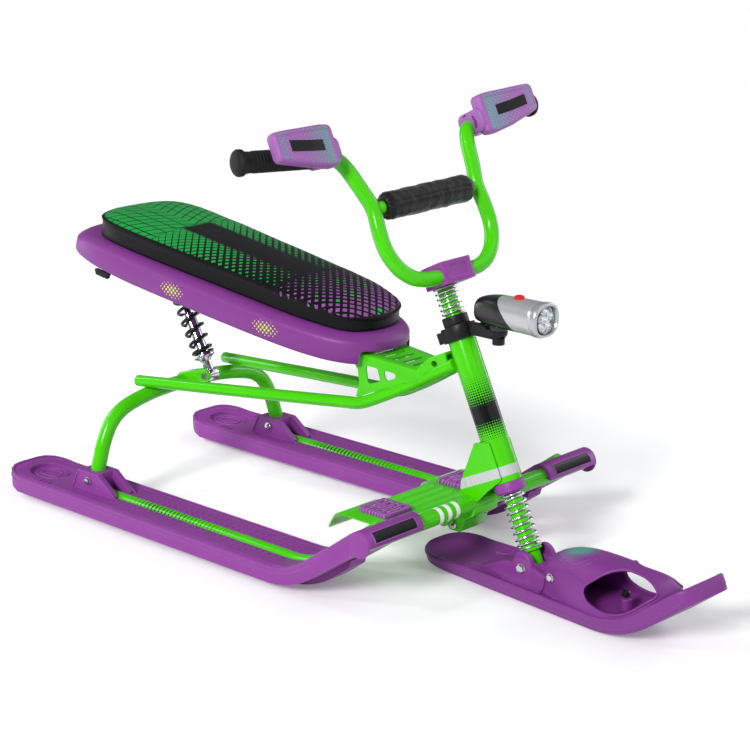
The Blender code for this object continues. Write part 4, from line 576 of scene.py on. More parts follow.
def roundEdges(piece, width, angle=35.0):
    bevel = piece.modifiers.new("edgeRounding", 'BEVEL')
    bevel.width = width
    bevel.segments = 3
    bevel.limit_method = 'ANGLE'
    bevel.angle_limit = math.radians(angle)
    bevel.harden_normals = True


def softened(name, width, material, angle=35.0):
    # the frame's own solid with its edges rounded off
    bm = bmesh.new()
    bm.from_mesh(nodes[nodeOf(name)].data)
    bmesh.ops.remove_doubles(bm, verts=bm.verts, dist=0.02 * mm)
    bmesh.ops.dissolve_limit(bm, angle_limit=math.radians(0.8), verts=bm.verts, edges=bm.edges)
    mesh = bpy.data.meshes.new(name)
    bm.to_mesh(mesh)
    bm.free()
    piece = dressed(name, mesh, material)
    roundEdges(piece, width, angle)
    return piece


def cutAway(piece, bm, place, operation='DIFFERENCE'):
    # cuts or joins with the Boolean modifier and keeps only the result
    cutter = newObject("cutter", toMesh("cutter", bm, place))
    step = piece.modifiers.new("cut", 'BOOLEAN')
    step.operation = operation
    step.object = cutter
    step.solver = 'EXACT'
    bpy.context.view_layer.update()
    graph = bpy.context.evaluated_depsgraph_get()
    mesh = bpy.data.meshes.new_from_object(piece.evaluated_get(graph))
    piece.modifiers.remove(step)
    old = piece.data
    piece.data = mesh
    bpy.data.meshes.remove(old)
    bpy.data.objects.remove(cutter)


# Head tube with its printed band and reflective tape

headTubeSettings = {"low": 0.169, "high": 0.403, "radius": 0.0205, "wall": 0.0037, "dotPitch": 3.6 * mm,
                    "band": (0.2580, 0.2830), "fadeUp": 0.340, "fadeDown": 0.222, "tape": (0.1780, 0.1925)}


def headTubePrint(tree, colour, roughness):
    place = addNode(tree, "SeparateXYZ", {0: inFrame(tree, steeringFrame)})
    height = place.outputs["Z"]
    angle = addNode(tree, "Math", {0: place.outputs["Y"], 1: place.outputs["X"]}, operation='ARCTAN2')
    arc = addNode(tree, "Math", {0: angle, 1: headTubeSettings["radius"]}, operation='MULTIPLY')
    flat = addNode(tree, "CombineXYZ", {"X": arc, "Y": height})
    low, high = headTubeSettings["band"]
    above = addNode(tree, "MapRange", {"Value": height, "From Min": high, "To Min": 0.56, "To Max": 0.0,
                                       "From Max": headTubeSettings["fadeUp"]})
    below = addNode(tree, "MapRange", {"Value": height, "From Max": low, "To Min": 0.0, "To Max": 0.56,
                                       "From Min": headTubeSettings["fadeDown"]})
    size = addNode(tree, "Math", {0: above, 1: below}, operation='MINIMUM')
    dots = dotScreen(tree, flat, headTubeSettings["dotPitch"], size)
    band = bandBetween(tree, height, low, high)
    ink = addNode(tree, "Math", {0: dots, 1: band}, operation='MAXIMUM')
    colour = inked(tree, ink, colour, "headTubeDots")
    weave = addNode(tree, "TexVoronoi", {"Vector": flat, "Scale": 1 / (1.6 * mm), "Randomness": 0.0},
                    voronoi_dimensions='2D')
    grey = addNode(tree, "Mix", {0: weave, 6: linear(printColours["tapeLight"]),
                                 7: linear(printColours["tapeDark"])}, data_type='RGBA')
    tape = bandBetween(tree, height, *headTubeSettings["tape"])
    colour = addNode(tree, "Mix", {0: tape, 6: colour, 7: grey}, data_type='RGBA')
    roughness = addNode(tree, "Mix", {0: tape, 2: roughness, 3: 0.42})
    return colour, roughness


printedSteel = colouredSurface("powderCoatedSteelPrinted", coatSettings, headTubePrint)


def makeHeadTube():
    low, high = headTubeSettings["low"], headTubeSettings["high"]
    outer = headTubeSettings["radius"]
    bm = bmesh.new()
    addSleeve(bm, low, high, outer, outer - headTubeSettings["wall"], 0.6 * mm, 3, 64)
    newPiece("headTube", bm, steeringFrame, printedSteel)
    # the sheet's side walls stay closed, as on the pictured sled
    gusset = softened("headGusset", 0.7 * mm, printedSteel)
    gusset.modifiers.clear()
    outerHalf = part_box("head_gusset")[1][1]
    plug = bmesh.new()
    for side in (-1, 1):
        addPrism(plug, [(0.2100, 0.1395), (0.2320, 0.1395), (0.2355, 0.1685), (0.2195, 0.1685)], 0.0022, 'xz',
                 side * (outerHalf - 0.0011))
    cutAway(gusset, plug, sledFrame, 'UNION')
    roundEdges(gusset, 0.7 * mm)

    bm = bmesh.new()
    lower = [(0.0165, 0.1990), (0.0165, 0.1687), (0.0222, 0.1687), (0.0222, 0.1560), (0.0192, 0.1530),
             (0.0128, 0.1530), (0.0128, 0.1990)]
    addLathe(bm, roundCorners(lower, 0.8 * mm, 3), 56, ring=True)
    newPiece("lowerBush", bm, steeringFrame, purplePlastic)
    bm = bmesh.new()
    upper = [(0.0165, 0.3733), (0.0165, 0.4033), (0.0190, 0.4033), (0.0190, 0.4175), (0.0128, 0.4175),
             (0.0128, 0.3733)]
    addLathe(bm, roundCorners(upper, 1.4 * mm, 4), 56, ring=True)
    newPiece("upperBush", bm, steeringFrame, blackNylon)


makeHeadTube()


# Bent tubes of the frame

tubeSettings = {"runner": 0.0118, "arch": 0.0118, "rail": 0.0092, "cross": 0.0125, "crossHalf": 0.2415,
                "runnerRear": -0.3857, "stripes": (-0.095, -0.0775, -0.060), "stripeWidth": 8.0 * mm}
crossTubePlace = (0.213, 0.112)
curl = {"start": 0.030, "radius": 0.155, "angle": 36.0, "wallBottom": 0.010, "deck": 0.035}
runnerDepth = 0.0178
archAt = -0.408           # feet of the rear arch, along the sled
skiCentre = 0.198         # middle of each rear ski, across the sled
bossHalf = 0.021          # half width of the boss on each rear ski
bossBoltHeight = 0.051


def crossTubePrint(tree, colour, roughness):
    # three pale stripes wrapped round the tube
    side = addNode(tree, "SeparateXYZ", {0: addNode(tree, "TexCoord").outputs["Object"]}).outputs["Y"]
    half = tubeSettings["stripeWidth"] / 2
    for middle in tubeSettings["stripes"]:
        stripe = bandBetween(tree, side, middle - half, middle + half)
        colour = inked(tree, stripe, colour, "tubeStripes")
    return colour, roughness


def runnerTickMarks(tree, colour, roughness):
    # dark cross ticks along the top of the rear half of the runner tubes, fading forward
    place = addNode(tree, "SeparateXYZ", {0: inFrame(tree, sledFrame)})
    fade = addNode(tree, "MapRange", {"Value": place.outputs["X"], "From Min": -0.28, "From Max": -0.06,
                                      "To Min": 0.42, "To Max": 0.0})
    begin = addNode(tree, "MapRange", {"Value": place.outputs["X"], "From Min": -0.33, "From Max": -0.27,
                                       "To Min": 0.0, "To Max": 0.42})
    fade = addNode(tree, "Math", {0: fade, 1: begin}, operation='MINIMUM')
    tick = repeating(tree, place.outputs["X"], 8.0 * mm, fade)
    above = addNode(tree, "Math", {0: place.outputs["Z"], 1: 0.0285}, operation='GREATER_THAN')
    return inked(tree, allOf(tree, tick, above), colour, "runnerTicks"), roughness


stripedSteel = colouredSurface("powderCoatedSteelStriped", coatSettings, crossTubePrint)
tickedSteel = colouredSurface("powderCoatedSteelTicked", coatSettings, runnerTickMarks)


def runnerPath(side):
    degrees = curl["angle"]
    turned = arcPoints((curl["start"], curl["wallBottom"] + curl["radius"]), curl["radius"] - runnerDepth,
                       -90.0, -90.0 + degrees, 16)
    forward = Vector((math.cos(math.radians(degrees)), math.sin(math.radians(degrees))))
    last = Vector(turned[-1])
    end = last + forward * (Vector(crossTubePlace) - last).dot(forward)
    line = [(tubeSettings["runnerRear"], curl["wallBottom"] + runnerDepth), *turned, tuple(end)]
    return [Vector((x, side * skiCentre, z)) for x, z in line]


def makeFrameTubes():
    bm = bmesh.new()
    half = tubeSettings["crossHalf"]
    addTube(bm, [(crossTubePlace[0], y, crossTubePlace[1]) for y in (-half, -half + 0.01, half - 0.01, half)],
            tubeSettings["cross"], 40, 1.5 * mm)
    newPiece("crossTube", bm, sledFrame, stripedSteel)

    half = [(0.196, 0.070), (0.1925, 0.080), (0.1830, 0.108), (0.1665, 0.136), (0.1400, 0.1545),
            (0.0950, 0.1655), (0.0470, 0.1705)]
    points = [(archAt, y, z) for y, z in half] + [(archAt, 0, 0.1715)]
    points += [(archAt, -y, z) for y, z in reversed(half)]
    feet = [Vector((archAt, side * skiCentre, 0.030)) for side in (1, -1)]
    bm = bmesh.new()
    addTube(bm, [feet[0], *smoothPath(points, 6), feet[1]], tubeSettings["arch"], 40)
    newPiece("rearArch", bm, sledFrame, greenSteel)

    rail = [(-0.425, 0.0955, 0.1868), (-0.150, 0.0655, 0.2125), (-0.020, 0.0490, 0.2245),
            (0.020, 0.0440, 0.2295), (0.060, 0.0370, 0.2475), (0.100, 0.0290, 0.2685),
            (0.140, 0.0210, 0.2915), (0.176, 0.0155, 0.3125)]
    for label, side in bothSides:
        bm = bmesh.new()
        addTube(bm, smoothPath([(x, side * y, z) for x, y, z in rail], 8), tubeSettings["rail"], 36, 2.0 * mm)
        newPiece("seatRail" + label, bm, sledFrame, greenSteel)
        bm = bmesh.new()
        addTube(bm, runnerPath(side), tubeSettings["runner"], 36)
        newPiece("runnerTube" + label, bm, sledFrame, tickedSteel)


makeFrameTubes()
print("frame tubes made")


# Brackets and small pieces that keep the frame's own solids

def padRidgeHighlights(tree, colour, roughness):
    # painted highlight: pale wavy lines where light would catch the pad's moulded ripples
    wave = addNode(tree, "TexWave", {"Vector": inFrame(tree, brakeFrame), "Scale": 52.0, "Distortion": 5.0,
                                     "Detail": 1.0, "Detail Scale": 1.0})
    line = addNode(tree, "MapRange", {"Value": wave.outputs["Fac"], "From Min": 0.80, "From Max": 0.93,
                                      "To Max": 0.65})
    return inked(tree, line, colour, "brakePadHighlights"), roughness


# the pad's pale wavy lines are painted highlights
padPlastic = colouredSurface("mouldedPolyethylenePad", plasticSettings, padRidgeHighlights)
# name, width of the rounded edges in mm, material
softRows = (("seatBracket", 0.6, greenSteel), ("shockBracket", 0.7, greenSteel),
            ("towBracket", 1.0, greenSteel), ("brakePlate", 0.6, greenSteel),
            ("brakePadRight", 0.8, padPlastic), ("brakePadLeft", 0.8, padPlastic),
            ("stemClamp", 1.6, purplePlastic), ("shockUpperBracket", 0.6, blackSteel),
            ("seatBumper", 1.0, gripRubber), ("lampClamp", 0.8, blackNylon),
            ("lampArm", 0.8, blackNylon), ("lampBattery", 0.8, zincSteel))
for softName, softWidth, softMaterial in softRows:
    softened(softName, softWidth * mm, softMaterial)


# Skis

frontSkiSettings = {"tail": -0.200, "tip": 0.322, "half": 0.0548, "tailCorner": 0.0450, "tipHalf": 0.0470,
                    "tipCorner": 0.0200, "bottom": -0.0387, "rim": 0.0236, "dish": 0.0042, "curlStart": 0.148,
                    "curlRadius": 0.170, "curlAngle": 37.0, "tailLift": 0.0060, "slotHalf": 0.0138}
cowlStations = [(0.0370, 0.0180, 0.0080), (0.0420, 0.0255, 0.0245), (0.0500, 0.0285, 0.0330),
                (0.0720, 0.0350, 0.0435), (0.1000, 0.0420, 0.0490), (0.1320, 0.0465, 0.0500),
                (0.1650, 0.0480, 0.0495), (0.1950, 0.0470, 0.0485), (0.2200, 0.0440, 0.0475),
                (0.2360, 0.0390, 0.0445), (0.2460, 0.0320, 0.0395), (0.2520, 0.0230, 0.0340),
                (0.2550, 0.0120, 0.0290)]
cowlWindow = {"middle": 0.190, "halfLength": 0.057, "degrees": 44.0, "halfDegrees": 38.5}


def shadeDarkened(tree, colour, roughness):
    # painted shade: the front ski and the seat pan are slightly darkened by laying a deep purple over their
    # colour, standing in for the shade they sit in
    return inked(tree, 0.30, colour, "paintedShadePurple"), roughness


# this purple carries painted shade: darkened to stand in for shade on the front ski and its cowl
shadeDarkenedPlastic = colouredSurface("mouldedPolyethylenePaintedShade", plasticSettings, shadeDarkened)


def eased(value, low, high):
    share = max(0.0, min(1.0, (value - low) / (high - low)))
    return share * share * (3 - 2 * share)


def frontDeckHeight(x):
    s = frontSkiSettings
    radius = s["curlRadius"] - s["rim"]
    centre = s["bottom"] + s["curlRadius"]
    reach = radius * math.sin(math.radians(s["curlAngle"]))
    inside = min(max(x - s["curlStart"], 0.0), reach)
    height = centre - math.sqrt(radius ** 2 - inside ** 2)
    return height + max(x - s["curlStart"] - reach, 0.0) * math.tan(math.radians(s["curlAngle"]))


def frontSkiStation(along):
    # point of the running surface and its slope at a length along it from the tail
    s = frontSkiSettings
    flat = s["curlStart"] - s["tail"]
    turn = math.radians(s["curlAngle"])
    if along <= flat:
        x = s["tail"] + along
        lift = s["tailLift"] * max(0.0, (-0.11 - x) / 0.09) ** 2
        return x, s["bottom"] + lift, 0.0
    angle = min((along - flat) / s["curlRadius"], turn)
    beyond = max(0.0, along - flat - s["curlRadius"] * turn)
    x = s["curlStart"] + s["curlRadius"] * math.sin(angle) + beyond * math.cos(turn)
    z = s["bottom"] + s["curlRadius"] * (1 - math.cos(angle)) + beyond * math.sin(turn)
    return x, z, angle


def roundedHalf(fromEnd, half, corner):
    # half width of a plan whose end corners are round
    if fromEnd >= corner:
        return half
    return half - corner + math.sqrt(max(corner ** 2 - (corner - fromEnd) ** 2, 0.0))


def frontSkiRing(along, length):
    s = frontSkiSettings
    x, z, slope = frontSkiStation(along)
    fromTip = length - along
    narrow = s["half"] - (s["half"] - s["tipHalf"]) * eased(along, length - 0.14, length)
    half = min(roundedHalf(along, s["half"], s["tailCorner"]), roundedHalf(fromTip, narrow, s["tipCorner"]))
    k = min(1.0, half / 0.034)
    end = min(along, fromTip)
    rim = s["rim"] - 0.0012 * (1 - eased(end, 0.0, 0.012)) - 0.0060 * (1 - eased(along, 0.02, 0.15))
    lip = 0.0032 * eased(end, 0.0008, 0.0090)
    dish = s["dish"] * eased(end, 0.006, 0.035) * (1 + 0.9 * (1 - eased(along, 0.03, 0.12)))
    profile = [(half - 0.0088 * k, 0.0), (half - 0.0062 * k, 0.0006), (half - 0.0047 * k, 0.0022),
               (half - 0.0034 * k, 0.0078), (half - 0.0024 * k, 0.0086), (half - 0.0010 * k, rim - 0.0058),
               (half - 0.0002 * k, rim - 0.0034), (half - 0.0009 * k, rim - 0.0013), (half - 0.0030 * k, rim),
               (half - 0.0052 * k, rim - 0.12 * lip), (half - 0.0074 * k, rim - 0.56 * lip),
               (half - 0.0105 * k, rim - lip)]
    swell = 0.0120 * eased(x, -0.125, -0.038) * (1 - eased(x, -0.036, -0.027))
    for share in (0.72, 0.6, 0.48, 0.36, 0.24, 0.12, 0.0):
        across = half * share
        saddle = swell * (1 - eased(across, 0.012, 0.044))
        profile.append((across, rim - lip - dish * (1 - share ** 2) + saddle))
    profile += [(-across, height) for across, height in reversed(profile[:-1])]
    return [(x - math.sin(slope) * height, across, z + math.cos(slope) * height)
            for across, height in profile]


def makeFrontSki():
    s = frontSkiSettings
    turn = math.radians(s["curlAngle"])
    reach = s["curlStart"] + s["curlRadius"] * math.sin(turn)
    length = s["curlStart"] - s["tail"] + s["curlRadius"] * turn + (s["tip"] - reach) / math.cos(turn)
    stations = [0.0, 0.0006, 0.0018, 0.0036, 0.0062, 0.0095, 0.0135, 0.0185, 0.024, 0.030, 0.037, 0.046]
    step = 0.0072
    while stations[-1] + step < length - 0.022:
        stations.append(stations[-1] + step)
    stations += [length - gap for gap in (0.0195, 0.0150, 0.0105, 0.0070, 0.0040, 0.0018, 0.0006, 0.0)]
    bm = bmesh.new()
    addLoft(bm, [frontSkiRing(along, length) for along in stations])
    keel = [(-0.150, s["bottom"] + 0.002), (-0.130, s["bottom"] - 0.003), (0.148, s["bottom"] - 0.003),
            (0.185, s["bottom"] + 0.004)]
    addPrism(bm, roundCorners(keel, 0.004, 4), 0.032, 'xz')
    # cheeks that rise out of the deck beside the fork
    deck = s["bottom"] + s["rim"] - 0.0058
    for _, side in bothSides:
        rings = []
        for k in range(49):
            x = -0.104 + 0.148 * k / 48
            rear = deck + (0.0045 - deck) * eased(x, -0.104, -0.018)
            circle = 0.0255 * math.sqrt(max(1 - (x / 0.0195) ** 2, 0.0)) if abs(x) < 0.0195 else -1.0
            front = 0.0065 * (1 - eased(x, 0.012, 0.050)) if x > 0 else -1.0
            top = max(rear if x < 0 else -1.0, circle, front, deck + 0.0006)
            rise = top - deck
            inner = s["slotHalf"] + 0.010 * (1 - eased(x, -0.060, -0.030))
            # the inner face steps out below the fork's collar
            step = min(top, 0.0095)
            ring = [(inner, deck - 0.004), (inner, step - 0.0016), (inner + 0.0012, step - 0.0003),
                    (inner + 0.003, step), (0.0188, step), (0.0190, max(step, top - 0.0012)),
                    (0.0202, top - 0.0001), (0.0238, top - 0.0002), (0.0262, top - 0.0016),
                    (0.0274, top - 0.0045 * min(1, rise / 0.012)),
                    (0.0284, deck + rise * 0.50), (0.0305, deck + rise * 0.26), (0.0345, deck + rise * 0.10),
                    (0.0400, deck + rise * 0.02), (0.0450, deck - 0.0006), (0.0450, deck - 0.004)]
            rings.append([(x, side * max(y, inner + 0.0002 * index), z) for index, (y, z) in enumerate(ring)])
        addLoft(bm, rings)
        # ring steps moulded round the pivot
        for radius in (0.0118, 0.0152):
            addSleeve(bm, -0.001, 0.001, radius, radius - 0.0012, 0.4 * mm, 2, 40,
                      alongAxis((0, side * 0.0272, 0), (0, side, 0)))
    # block that carries the cowl's bolt, and the post under its nut
    block = [(0.020, -0.022), (0.020, 0.009), (0.0225, 0.0105), (0.084, 0.0105), (0.086, -0.022)]
    addPrism(bm, roundCorners(block, 0.002, 3), 0.031, 'xz')
    post = [(0, -0.018), (0.0085, -0.018), (0.0075, -0.0005), (0, -0.0005)]
    addLathe(bm, roundCorners(post, 0.8 * mm, 3, closed=False), 32, Matrix.Translation((0.172, 0, 0)))
    # the front ski's darker purple is painted shade
    newPiece("frontSki", bm, frontFrame, shadeDarkenedPlastic, 38)


cowlLine = [tuple(station) for station in smoothPath(cowlStations, 5)]


def cowlPoint(x, degrees, inward=0.0):
    # point of the cowl's skin above station x, the angle measured from the left edge over the top
    for low, high in zip(cowlLine, cowlLine[1:]):
        if x <= high[0] or high is cowlLine[-1]:
            share = max(0.0, min(1.0, (x - low[0]) / (high[0] - low[0])))
            half, top = (low[i] + (high[i] - low[i]) * share for i in (1, 2))
            break
    base = frontDeckHeight(x) - 0.0060
    cosine, sine = math.cos(math.radians(degrees)), math.sin(math.radians(degrees))
    across = math.copysign(abs(cosine) ** 0.72, cosine) * (half - inward)
    flare = 0.0045 * max(0.0, 1 - abs(sine) / 0.16) ** 2
    height = base + (top - inward - base) * abs(sine) ** 0.8
    return Vector((x, across + math.copysign(flare, cosine), height))


def cowlPrint(tree, colour, roughness):
    # printed dots on the rear of the cowl's top, fading outwards in an oval
    place = addNode(tree, "SeparateXYZ", {0: inFrame(tree, frontFrame)})
    along = addNode(tree, "MapRange", {"Value": place.outputs["X"], "From Min": 0.048, "From Max": 0.128,
                                       "To Min": -1.0, "To Max": 1.0}, clamp=False)
    across = addNode(tree, "Math", {0: place.outputs["Y"], 1: 1 / 0.031}, operation='MULTIPLY')
    spot = addNode(tree, "CombineXYZ", {"X": along, "Y": across})
    distance = addNode(tree, "VectorMath", {0: spot}, operation='LENGTH').outputs["Value"]
    size = addNode(tree, "MapRange", {"Value": distance, "From Min": 0.30, "From Max": 1.0, "To Min": 0.62,
                                      "To Max": 0.0})
    flat = addNode(tree, "CombineXYZ", {"X": place.outputs["X"], "Y": place.outputs["Y"]})
    dots = dotScreen(tree, flat, 2.8 * mm, size)
    high = addNode(tree, "Math", {0: place.outputs["Z"], 1: 0.028}, operation='GREATER_THAN')
    dots = allOf(tree, dots, high)
    # painted shade: the cowl is darkened like the front ski
    colour, roughness = shadeDarkened(tree, colour, roughness)
    return inked(tree, dots, colour, "cowlDots"), roughness


cowlPlastic = colouredSurface("mouldedPolyethyleneCowl", plasticSettings, cowlPrint)


def windowLoop(side):
    # rounded window opening drawn on the cowl's skin, lower towards the rear
    w = cowlWindow
    lowest = w["degrees"] - w["halfDegrees"]
    loop = []
    for angle in around(72):
        x = w["middle"] + w["halfLength"] * squared(math.cos(angle))
        degrees = w["degrees"] + w["halfDegrees"] * squared(math.sin(angle))
        degrees = lowest + (degrees - lowest) * (0.46 + 0.54 * eased(x, 0.134, 0.190))
        loop.append(cowlPoint(x, degrees if side > 0 else 180 - degrees))
    return loop


def makeCowl():
    steps = 40
    rings = []
    for x, _, _ in cowlLine:
        outer = [cowlPoint(x, 180 * k / steps) for k in range(steps + 1)]
        inner = [cowlPoint(x, 180 - 180 * k / steps, 0.0026) for k in range(steps + 1)]
        rings.append(outer + inner)
    bm = bmesh.new()
    addLoft(bm, rings)
    piece = newPiece("skiCowl", bm, frontFrame, cowlPlastic, 45)
    for _, side in bothSides:
        # the cutter widens outwards from inside the cowl through its skin
        loop = windowLoop(side)
        cut = bmesh.new()
        addLoft(cut, [[Vector((point.x, 0, 0.006)).lerp(point, reach) for point in loop]
                      for reach in (0.45, 1.5)])
        cutAway(piece, cut, frontFrame)
    # rolled rims of the windows, oval step and edge ridges of the top
    bm = bmesh.new()
    for _, side in bothSides:
        addRope(bm, windowLoop(side), 1.7 * mm, 12)
        edge = [cowlPoint(0.046 + 0.084 * k / 30, 90 - side * (58 - 4 * math.sin(math.pi * k / 30)))
                for k in range(31)]
        addTube(bm, edge, 1.1 * mm, 10, 0.8 * mm)
    for grow in (1.0, 0.82):
        oval = [cowlPoint(0.090 + 0.043 * grow * math.cos(a), 90 + 46 * grow * math.sin(a))
                for a in around(64)]
        addRope(bm, [point - Vector((0, 0, 0.5 * mm)) for point in oval], 0.8 * mm, 10)
    # the cowl's rims carry the same painted shade as the front ski
    newPiece("skiCowlRims", bm, frontFrame, shadeDarkenedPlastic, body="front_ski_group")


rearSkiSettings = {"half": 0.056, "tail": -0.585, "corner": 0.040, "tickPitch": 13.0 * mm,
                   "ticks": (-0.366, 0.030), "capRadius": 0.0200, "label": (12.0, 60.0), "labelHalf": 0.043}


def rearSkiHeight(x, above):
    # height of a line that runs at a level above the ski's running surface
    level = curl["wallBottom"] + above
    if x < -0.535:
        rise = max(0.0, (-0.535 - x) / 0.050) ** 1.5 * 0.008
        return level + rise + 0.006 * max(0.0, (-0.545 - x) / 0.040) * max(0.0, 1 - above / 0.025)
    if x <= curl["start"]:
        return level
    radius = curl["radius"] - above
    degrees = math.radians(curl["angle"])
    reach = radius * math.sin(degrees)
    inside = min(x - curl["start"], reach)
    height = curl["wallBottom"] + curl["radius"] - math.sqrt(radius ** 2 - inside ** 2)
    return height + max(0.0, x - curl["start"] - reach) * math.tan(degrees)


def rearSkiEdge(inset, above, front):
    # line round the ski at a distance inside its plan, from front to tail and back
    s = rearSkiSettings
    half, corner = s["half"] - inset, s["corner"] - inset
    tail = s["tail"] + inset
    xs = [front - (front - tail - corner) * k / 50 for k in range(50)]
    plan = [(x, half) for x in xs]
    plan += [(tail + corner + corner * math.cos(a), half - corner + corner * math.sin(a))
             for a in (math.radians(90 + 90 * k / 14) for k in range(15))]
    plan += [(x, -y) for x, y in reversed(plan)]
    return [(x, y, rearSkiHeight(x, above)) for x, y in plan]


def addBar(bm, middle, size):
    x, y, z = middle
    length, width, height = (value / 2 for value in size)
    outline = roundCorners([(x - length, y - width), (x + length, y - width), (x + length, y + width),
                            (x - length, y + width)], min(length, width) * 0.7, 3)
    addPrism(bm, outline, height * 2, 'xy', z)


def onCap(centre, angle, along, radius):
    return Vector((crossTubePlace[0] + radius * math.cos(angle), centre + along,
                   crossTubePlace[1] + radius * math.sin(angle)))


def makeRearSkiDetails(label, side):
    s = rearSkiSettings
    centre = side * skiCentre
    bm = bmesh.new()
    for inset, above, front, radius in ((0.0034, 0.0252, 0.150, 1.5), (0.0002, 0.0170, 0.120, 0.9),
                                        (0.0105, 0.0248, 0.060, 0.7)):
        line = rearSkiEdge(inset, above, front)
        addTube(bm, [(x, centre + y, z) for x, y, z in line], radius * mm, 10, 0.5 * mm)
    deck = curl["deck"]
    first, last = s["ticks"]
    for k in range(int((last - first) / s["tickPitch"]) + 1):
        at = first + k * s["tickPitch"]
        for across, width in ((0.0185, 0.0060), (0.0290, 0.0036)):
            for turn in (-1, 1):
                addBar(bm, (at, centre + turn * across, deck), (0.0022, width, 0.0018))
    # rings of the heel dish and the ribs beside it
    for along, across in ((0.0300, 0.0220), (0.0200, 0.0130)):
        ring = [Vector((-0.525 + along * math.cos(a), centre + across * math.sin(a), 0.0318))
                for a in around(48)]
        addRope(bm, ring, 0.9 * mm, 8)
    for turn in (-1, 1):
        for k in range(3):
            addBar(bm, (-0.503 + 0.010 * k, centre + turn * 0.0405, deck), (0.0032, 0.0120, 0.0026))
        # ribs on the flanks of the boss
        for low, high in (((-0.4455, 0.0345), (-0.4315, 0.0640)), ((-0.3850, 0.0640), (-0.3400, 0.0345)),
                          ((-0.4280, 0.0640), (-0.3890, 0.0640))):
            flank = centre + turn * bossHalf
            lower, upper = (Vector((x, flank, z)) for x, z in (low, high))
            addTube(bm, [lower.lerp(upper, k / 6) for k in range(7)], 1.3 * mm, 10, 0.6 * mm)
        addSleeve(bm, 0.0, 0.0016, 0.0088, 0.0072, 0.3 * mm, 2, 36,
                  alongAxis((archAt, centre + turn * (bossHalf - 0.2 * mm), bossBoltHeight), (0, turn, 0)))
    # closed outer end of the cap
    disc = [(0, -0.0040), (0.0188, -0.0040), (0.0188, 0.0), (0, 0.0)]
    addLathe(bm, roundCorners(disc, 1.2 * mm, 3, closed=False), 48,
             alongAxis((crossTubePlace[0], centre + side * 0.0574, crossTubePlace[1]), (0, side, 0)))
    # raised border of the cap's label
    begin, end = (math.radians(value) for value in s["label"])
    border = []
    radius, half = s["capRadius"] + 0.0002, s["labelHalf"]
    corners = [Vector(corner) for corner in ((begin, -half), (begin, half), (end, half), (end, -half))]
    for corner, following, steps in zip(corners, corners[1:] + corners[:1], (24, 10, 24, 10)):
        border += [corner.lerp(following, k / steps) for k in range(steps)]
    addRope(bm, [onCap(centre, angle, along, radius) for angle, along in border], 1.0 * mm, 8)
    newPiece("rearSkiRelief" + label, bm, sledFrame, purplePlastic, body="frame")

    bm = bmesh.new()
    rings = []
    for k in range(13):
        angle = begin + (end - begin) * k / 12
        rings.append([onCap(centre, angle, turn * half, s["capRadius"] + lift)
                      for turn, lift in ((-1, -0.0004), (1, -0.0004), (1, 0.0006), (-1, 0.0006))])
    addLoft(bm, rings)
    newPiece("rearSkiLabel" + label, bm, sledFrame, labelFilm, body="frame")


def makeSkis():
    makeFrontSki()
    makeCowl()
    for label, side in bothSides:
        softened("rearSki" + label, 1.4 * mm, purplePlastic)
        makeRearSkiDetails(label, side)


makeSkis()
print("skis made")


# Fork, springs and washers of the steering column

forkSettings = {"bottom": 0.0346, "top": 0.4886, "radius": 0.0125, "inner": 0.0105, "flange": 0.0170,
                "flangeLow": 0.0665, "flangeTop": 0.0705, "coilRadius": 0.0158, "wire": 0.0018}


def makeSteeringColumn():
    bm = bmesh.new()
    s = forkSettings
    profile = [(0, s["bottom"] + 0.035), (s["inner"], s["bottom"] + 0.037), (s["inner"], s["top"]),
               (s["radius"], s["top"]), (s["radius"], s["flangeTop"]), (s["flange"], s["flangeTop"]),
               (s["flange"], s["flangeLow"]), (s["radius"], s["flangeLow"] - 0.0012),
               (s["radius"], s["bottom"]), (0, s["bottom"])]
    addLathe(bm, roundCorners(profile, 0.5 * mm, 3, closed=False), 48)
    newPiece("forkTube", bm, columnFrame, greenSteel)

    for name, low in (("lowerSpringWasher", 0.0708), ("upperSpringWasher", 0.4583)):
        bm = bmesh.new()
        addSleeve(bm, low, low + 0.002, 0.0180, 0.0128)
        newPiece(name, bm, steeringFrame, zincSteel)

    for name, low, high, turns in (("lowerSpring", 0.0731, 0.1527, 9), ("upperSpring", 0.4178, 0.4580, 5.5)):
        bm = bmesh.new()
        addTube(bm, helixPath(s["coilRadius"], low, high, turns, s["wire"]), s["wire"], 14, 0.4 * mm)
        piece = newPiece(name, bm, steeringFrame, chromedSteel)
        piece.parent = None
        # the end that stays on the frame comes first
        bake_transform(piece)


makeSteeringColumn()


# Handlebar, crossbar and pad

barSettings = {"radius": 0.0110, "crossRadius": 0.0090, "crossForward": 0.0215, "crossLevel": 0.5895,
               "crossHalf": 0.1005, "padHalf": 0.0830, "padRadius": 0.0206}
# left half of the bar's centre line: forward, across, up
barHalf = [(0.0260, 0.0340, 0.4740), (0.0250, 0.0530, 0.4760), (0.0235, 0.0730, 0.4835),
           (0.0225, 0.0910, 0.5010), (0.0220, 0.1020, 0.5280), (0.0220, 0.1030, 0.5580),
           (0.0215, 0.1005, 0.5895), (0.0190, 0.1080, 0.6200), (0.0130, 0.1180, 0.6560),
           (0.0080, 0.1290, 0.6735), (0.0035, 0.1420, 0.6785)]
barSlope = Vector((-0.06, 1.0, 0.125)).normalized()
barStart = Vector(barHalf[-1])


def onBar(side, across):
    # point of the bar's straight end at a distance from the middle, and the direction outwards
    point = barStart + barSlope * ((across - barStart.y) / barSlope.y)
    return Vector((point.x, side * point.y, point.z)), Vector((barSlope.x, side * barSlope.y, barSlope.z))


